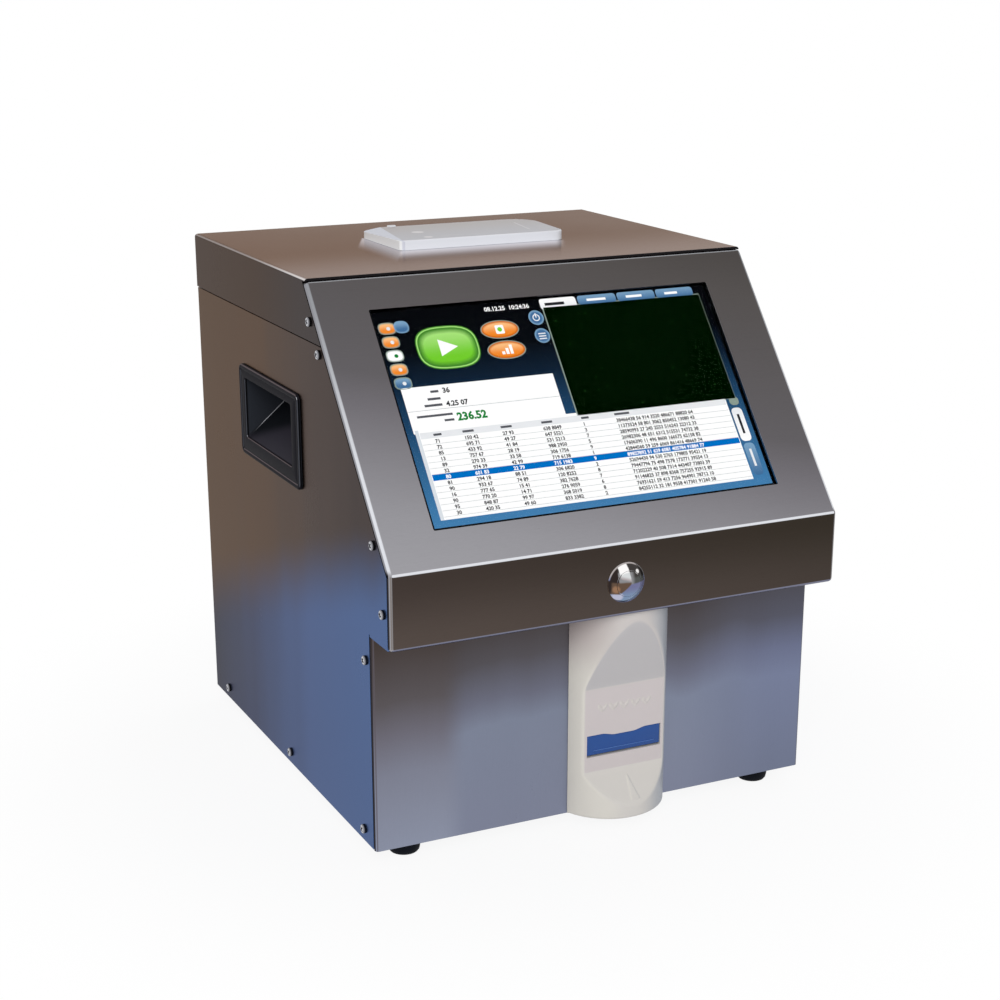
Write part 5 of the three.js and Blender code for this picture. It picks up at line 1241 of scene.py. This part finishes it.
class Picture:
    def __init__(self):
        self.points, self.faces, self.colours, self.shift = [], [], [], 0

    # A polygon of (x, y) corners, with one colour or one for each corner
    def shape(self, corners, colours, layer):
        start = len(self.points)
        self.points += [(x + self.shift, y, layer) for x, y in corners]
        self.faces.append(range(start, start + len(corners)))
        self.colours += colours if isinstance(colours, list) else [colours] * len(corners)

    def box(self, x, y, width, height, colour, layer, foot=None):
        corners = [(x, y), (x + width, y), (x + width, y + height), (x, y + height)]
        self.shape(corners, [colour, colour, foot or colour, foot or colour], layer)

    # Rings of an oval, squarer as its power rises, from the rim's colour to the middle's, lighter at the top
    def pillow(self, x, y, width, height, power, colours, layer, steps=36):
        def ring(inset):
            loop = []
            for i in range(steps):
                turn = 2 * math.pi * (i + 0.5) / steps
                u, v = math.cos(turn), math.sin(turn)
                reach = (abs(u) ** power + abs(v) ** power) ** (-1 / power)
                across, down = (width / 2 - inset) * u * reach, (height / 2 - inset) * v * reach
                loop.append((x + width / 2 + across, y + height / 2 + down))
            return loop
        depth = min(width, height) / 2
        insets = [0, 0.06 * depth, 0.16 * depth, 0.3 * depth, 0.55 * depth, 0.8 * depth]
        rings = [ring(inset) for inset in insets]

        def colourAt(point, share):
            middle = blended(colours[2], colours[1], smoothStep((point[1] - y) / height, 0.1, 0.75))
            return blended(colours[0], middle, smoothStep(share, 0.05, 0.3))
        count = len(rings[0])
        for (outer, outside), (inner, inside) in zip(zip(rings, insets), zip(rings[1:], insets[1:])):
            for i in range(count):
                j = (i + 1) % count
                corners = [outer[i], outer[j], inner[j], inner[i]]
                shares = [outside / depth] * 2 + [inside / depth] * 2
                self.shape(corners, [colourAt(c, s) for c, s in zip(corners, shares)], layer)
        self.shape(rings[-1], [colourAt(c, 1) for c in rings[-1]], layer)

    def plate(self, x, y, width, height, radius, colour, layer, foot=None):
        loop = roundedLoop((x, y), (x + width, y + height), radius, 4)
        self.shape(loop, [blended(colour, foot or colour, (point[1] - y) / height) for point in loop], layer)

    def disc(self, x, y, radius, colour, layer, sides=14):
        turns = [2 * math.pi * i / sides for i in range(sides)]
        self.shape([(x + radius * math.cos(turn), y + radius * math.sin(turn)) for turn in turns], colour, layer)

    # Plain digits in Blender's own font
    def digits(self, words, x, y, height, colour, layer, right=False, weight=0.035):
        curve = bpy.data.curves.new("digits", "FONT")
        curve.body, curve.size, curve.resolution_u, curve.offset = words, height * 1.36, 2, height * weight
        curve.align_x = "RIGHT" if right else "LEFT"
        holder = bpy.data.objects.new("digits", curve)
        mesh = holder.to_mesh()
        for face in mesh.polygons:
            self.shape([(x + mesh.vertices[i].co.x, y - mesh.vertices[i].co.y) for i in face.vertices], colour, layer)
        holder.to_mesh_clear()
        bpy.data.objects.remove(holder)
        bpy.data.curves.remove(curve)


def drawBackground(picture):
    stops = toned({"blue": [
        (0, (4, 5, 8)), (0.2, (6, 9, 14)), (0.34, (14, 30, 48)), (0.55, (30, 66, 100)), (0.8, (52, 104, 148)),
        (1, (66, 124, 172)),
    ]})["blue"]
    for (above, colour), (below, foot) in zip(stops, stops[1:]):
        top, base = above * display["height"], below * display["height"]
        picture.box(0, top, display["width"], base - top, colour, 0, foot)


def drawSample(picture, chance):
    picture.box(4.4, 5.0, 108.6, 73.4, ink["shade"], 1)
    picture.box(5.2, 5.6, 107.6, 72.6, ink["field"], 2)
    for _ in range(28):
        x, y, radius = chance.uniform(8, 110), chance.uniform(9, 75), chance.uniform(0.35, 0.6)
        picture.disc(x, y, radius, blended(ink["field"], ink["cell"], chance.uniform(0.1, 0.5)), 3, 8)
    picture.plate(3.8, -0.3, 24.4, 7.2, 1.8, ink["white"], 2, ink["pale"])
    picture.box(7, 2.6, 13, 1.9, ink["text"], 3)
    for i in range(3):
        x = 29.4 + i * 27
        picture.plate(x, -0.3, 26, 6.0, 1.8, ink["tabLight"], 1, ink["tab"])
        picture.box(x + 6, 2.1, 13 - 2 * i, 1.6, ink["white"], 2)


def drawControls(picture):
    for i, kind in enumerate(("orange", "orange", "white", "orange", "tab")):
        y = 6.6 + i * 8.9
        light = {"orange": ink["orangeLight"], "white": ink["white"], "tab": ink["tabLight"]}[kind]
        picture.pillow(111.4, y, 10.8, 7.8, 3.2, (ink["shade"], ink[kind], light), 1, 20)
        picture.disc(117.6, y + 4, 1.2, ink["pale"] if kind != "white" else ink["value"], 2)
    picture.pillow(121.2, 6.2, 9.2, 8.0, 2.6, (ink["tabLight"], ink["tab"], ink["tabLight"]), 2, 20)
    picture.pillow(130.9, 11.7, 39.4, 28.2, 2.9, (ink["greenDark"], ink["greenLight"], ink["pale"]), 1)
    picture.pillow(131.5, 12.3, 38.2, 27.0, 2.9, (ink["greenLight"], ink["greenLight"], ink["greenLight"]), 2)
    picture.pillow(132.2, 13.0, 36.8, 25.6, 2.9, (ink["greenDark"], ink["green"], ink["greenLight"]), 3)
    picture.shape([(145.3, 20.3), (156.9, 25.8), (145.3, 31.3)], ink["white"], 5)
    for i in range(2):
        x, y = 173.9 + 0.4 * i, 11.3 + i * 13.6
        picture.pillow(x, y, 24.8, 12.2, 2.1, (ink["shade"], ink["orangeLight"], ink["orangeLight"]), 1)
        picture.pillow(x + 0.7, y + 0.6, 23.4, 11, 2.1, (tone(204, 98, 16), ink["orange"], ink["orangeLight"]), 2)
        picture.pillow(207.0 + 0.3 * i, 6.9 + i * 12.2, 9.8, 9.8, 2, (ink["tabLight"], ink["tab"], ink["tab"]), 2)
    picture.plate(183.4, 14.5, 5.6, 5.8, 0.8, ink["white"], 3)
    picture.disc(186.2, 17.4, 1.5, ink["green"], 4)
    for i in range(3):
        picture.box(183.2 + 2.7 * i, 33.9 - 2.0 * (i + 1), 1.9, 2.0 * (i + 1), ink["white"], 3)
        picture.box(209.8, 22.2 + 1.7 * i, 4.8, 0.8, ink["pale"], 3)
    picture.disc(211.9, 11.8, 2.4, ink["pale"], 3)
    picture.disc(211.9, 11.8, 1.7, ink["tab"], 4)
    picture.box(211.5, 8.8, 0.8, 3.0, ink["pale"], 5)
    picture.digits("08.12.25  10:24:36", 209.6, 4.9, 2.9, ink["white"], 2, True)


def drawResult(picture):
    picture.box(114.2, 49.2, 96.6, 29.2, ink["white"], 1)
    picture.box(114.2, 64.2, 96.6, 0.3, ink["line"], 2)
    for y, width, value in ((51.2, 5, "36"), (55.8, 8, ""), (59.8, 11, "4.25 07")):
        picture.box(136.5 - width, y + 1.1, width, 1.5, ink["soft"], 2)
        if value:
            picture.digits(value, 139.0, y + 3.2, 3.3, ink["text"], 2, weight=0.05)
    for y, width in ((67.4, 22), (71.0, 6)):
        picture.box(141 - width, y, width, 1.4, ink["soft"], 2)
    picture.digits("236.52", 143.2, 72.6, 5.0, ink["value"], 2, weight=0.06)


# Rows of a table; its columns are (place, digits in each group)
def drawTable(picture, chance):
    left, top, width, rows, pitch = 7.6, 78.0, 200.8, 13, 3.72
    picture.box(left - 2.6, top - 1.8, width + 3.0, rows * pitch + 7.4, ink["white"], 1)
    picture.box(left, top, width, 3.9, ink["pale"], 2)
    picture.box(left - 2.6, top - 1.8, 2.2, rows * pitch + 7.4, tone(214, 220, 226), 2)
    columns = ((8, (2,)), (26, (3, 2)), (50, (2, 2)), (76, (3, 4)), (102, (1,)), (124, (8, 2, 3, 4, 6, 5, 2)))
    for place, groups in columns:
        picture.box(left + place, top + 1.2, min(3 + 2 * len(groups), 10), 1.4, ink["soft"], 3)
    for row in range(rows):
        y = top + 3.9 + row * pitch
        chosen = row == 6
        if chosen:
            picture.box(left, y, width, pitch, ink["blue"], 3)
        else:
            picture.box(left, y + pitch - 0.22, width, 0.22, ink["line"], 2)
        for place, groups in columns:
            words = " ".join(str(chance.randint(10 ** (count - 1), 10 ** count - 1)) for count in groups)
            picture.digits(words, left + place, y + 3.05, 2.3, ink["white"] if chosen else ink["text"], 4, weight=0.045)


def drawSides(picture):
    picture.plate(211.0, 77.0, 6.4, 5.8, 2.4, ink["shade"], 1)
    picture.plate(210.0, 84.6, 7.4, 22.5, 2.6, ink["pale"], 2, ink["white"])
    picture.box(212.8, 89.0, 1.6, 13.0, ink["text"], 3)
    picture.plate(210.0, 108.4, 7.4, 21.5, 2.6, ink["tabLight"], 1, ink["tab"])
    picture.box(212.8, 112.4, 1.6, 11.5, ink["pale"], 2)


def screenPicture():
    picture, chance = Picture(), random.Random(display["seed"])
    drawBackground(picture)
    picture.shift = display["sampleShift"]
    drawSample(picture, chance)
    picture.shift = display["controlShift"]
    drawControls(picture)
    drawResult(picture)
    picture.shift = 0
    drawTable(picture, chance)
    drawSides(picture)
    left, top = display["left"] + display["border"], display["top"] - display["topBorder"]
    mesh = bpy.data.meshes.new("screen_picture")
    places = [
        slopeSpot(left + x, top - y, display["floor"] + layer * display["layer"]) for x, y, layer in picture.points
    ]
    mesh.from_pydata(places, [], [list(face) for face in picture.faces])
    colours = mesh.color_attributes.new("picture", "FLOAT_COLOR", "CORNER")
    out = Vector(slopeNormal)
    flip = [face.index for face in mesh.polygons if face.normal.dot(out) < 0]
    for loop in mesh.loops:
        colours.data[loop.index].color = picture.colours[loop.vertex_index]
    form = bmesh.new()
    form.from_mesh(mesh)
    form.faces.ensure_lookup_table()
    bmesh.ops.reverse_faces(form, faces=[form.faces[i] for i in flip])
    form.to_mesh(mesh)
    form.free()
    paint = Paint("litPicture")
    colour = paint.node("ShaderNodeVertexColor", {"layer_name": "picture"})
    dim = paint.mix(0.95, colour, (0, 0, 0, 1))
    lit = paint.surface(
        Base_Color=dim, Roughness=0.4, Emission_Color=colour, Emission_Strength=0.97, Specular_IOR_Level=0.0
    )
    addPiece("screen_picture", mesh, lit)


screenPicture()
print("screen picture ready")

# Finishes of the CAD nodes that stay
nodeFinishes = {
    innerSteel: ["display_frame", "network_port", "usb_ports"],
    screwSteel: ["button_nut", "shutter_pin", "focus_screw"],
    springWire: ["shutter_spring"],
    innerBlack: [
        "button_switch", "filter_cube", "camera_module", "fan_frame", "fan_rotor", "power_inlet", "rocker_frame",
        "power_rocker"
    ],
    machinedAlloy: ["stage_base", "chip_carriage", "motor_coupler", "optics_column", "focus_carriage", "led_source"],
    lensBrass: ["lead_screw", "objective_lens"],
    rodChrome: ["left_guide_rod", "right_guide_rod"],
    motorBlack: ["stage_motor", "focus_motor"],
    supplyCage: ["power_supply"],
    boardGreen: ["panel_computer", "main_board", "reader_board"],
    readerPlastic: ["reader_base"],
    screenGlass: ["touch_glass"],
    panelBlack: ["lcd_panel"],
}
for material, nodes in nodeFinishes.items():
    for node in nodes:
        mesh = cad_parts[node].data
        mesh.materials.clear()
        mesh.materials.append(material)
print("inner finishes ready")

# Floor, world and lamps
studio = {
    "floorTone": (0.93, 0.93, 0.955, 1), "floorHalf": 60, "fade": (0.18, 0.42), "floorLight": 0.9, "fill": 0.47,
    "lamps": {"key": ((-1.2, -2.4, 1.6), 1.9, 50), "rim": ((1.7, 0.6, 1.9), 1.6, 8)},
}


def addFloor():
    half = studio["floorHalf"]
    mesh = bpy.data.meshes.new("floor")
    mesh.from_pydata([(-half, -half, 0), (half, -half, 0), (half, half, 0), (-half, half, 0)], [], [(0, 1, 2, 3)])
    paint = Paint("paleFloor")
    matt = paint.node("ShaderNodeBsdfDiffuse", values={"Color": studio["floorTone"]})
    white = paint.node("ShaderNodeEmission", values={"Color": (1, 1, 1, 1), "Strength": 1.0})
    away = paint.node("ShaderNodeVectorMath", {"operation": "LENGTH"}, (paint.place,), "Value")
    faint = studio["floorLight"] + paint.between(away, *studio["fade"]) * (1 - studio["floorLight"])
    shade = paint.node("ShaderNodeMixShader", values=(faint * seenRays(paint), matt, white))
    paint.node("ShaderNodeOutputMaterial", values=(shade,))
    mesh.materials.append(paint.material)
    linked("floor", mesh)


def seenRays(paint):
    outputs = paint.node("ShaderNodeLightPath").socket.node.outputs
    camera, glossy, through = (
        Wire(paint, outputs["Is %s Ray" % kind]) for kind in ("Camera", "Glossy", "Transmission")
    )
    return paint.between(camera + glossy + through, 0, 1)


def addWorld():
    world = bpy.data.worlds.new("world")
    bpy.context.scene.world = world
    paint = Paint("world", world)
    white = paint.node("ShaderNodeBackground", values=((1, 1, 1, 1), 1.0))
    fill = paint.node("ShaderNodeBackground", values=((0.97, 0.98, 1.0, 1), studio["fill"]))
    shade = paint.node("ShaderNodeMixShader", values=(seenRays(paint), fill, white))
    paint.node("ShaderNodeOutputWorld", values=(shade,))


def addLamps():
    for name, (place, size, power) in studio["lamps"].items():
        data = bpy.data.lights.new(name, "AREA")
        data.shape, data.size, data.energy = "DISK", size, power
        lamp = linked(name, data)
        lamp.location = place
        lamp.rotation_mode = "QUATERNION"
        lamp.rotation_quaternion = (Vector(place) - Vector((0, 0, 0.15))).to_track_quat("Z", "Y")
        lamp.visible_glossy = False


addFloor()
addWorld()
addLamps()
bpy.context.scene.view_settings.view_transform = "Standard"
print("studio ready")
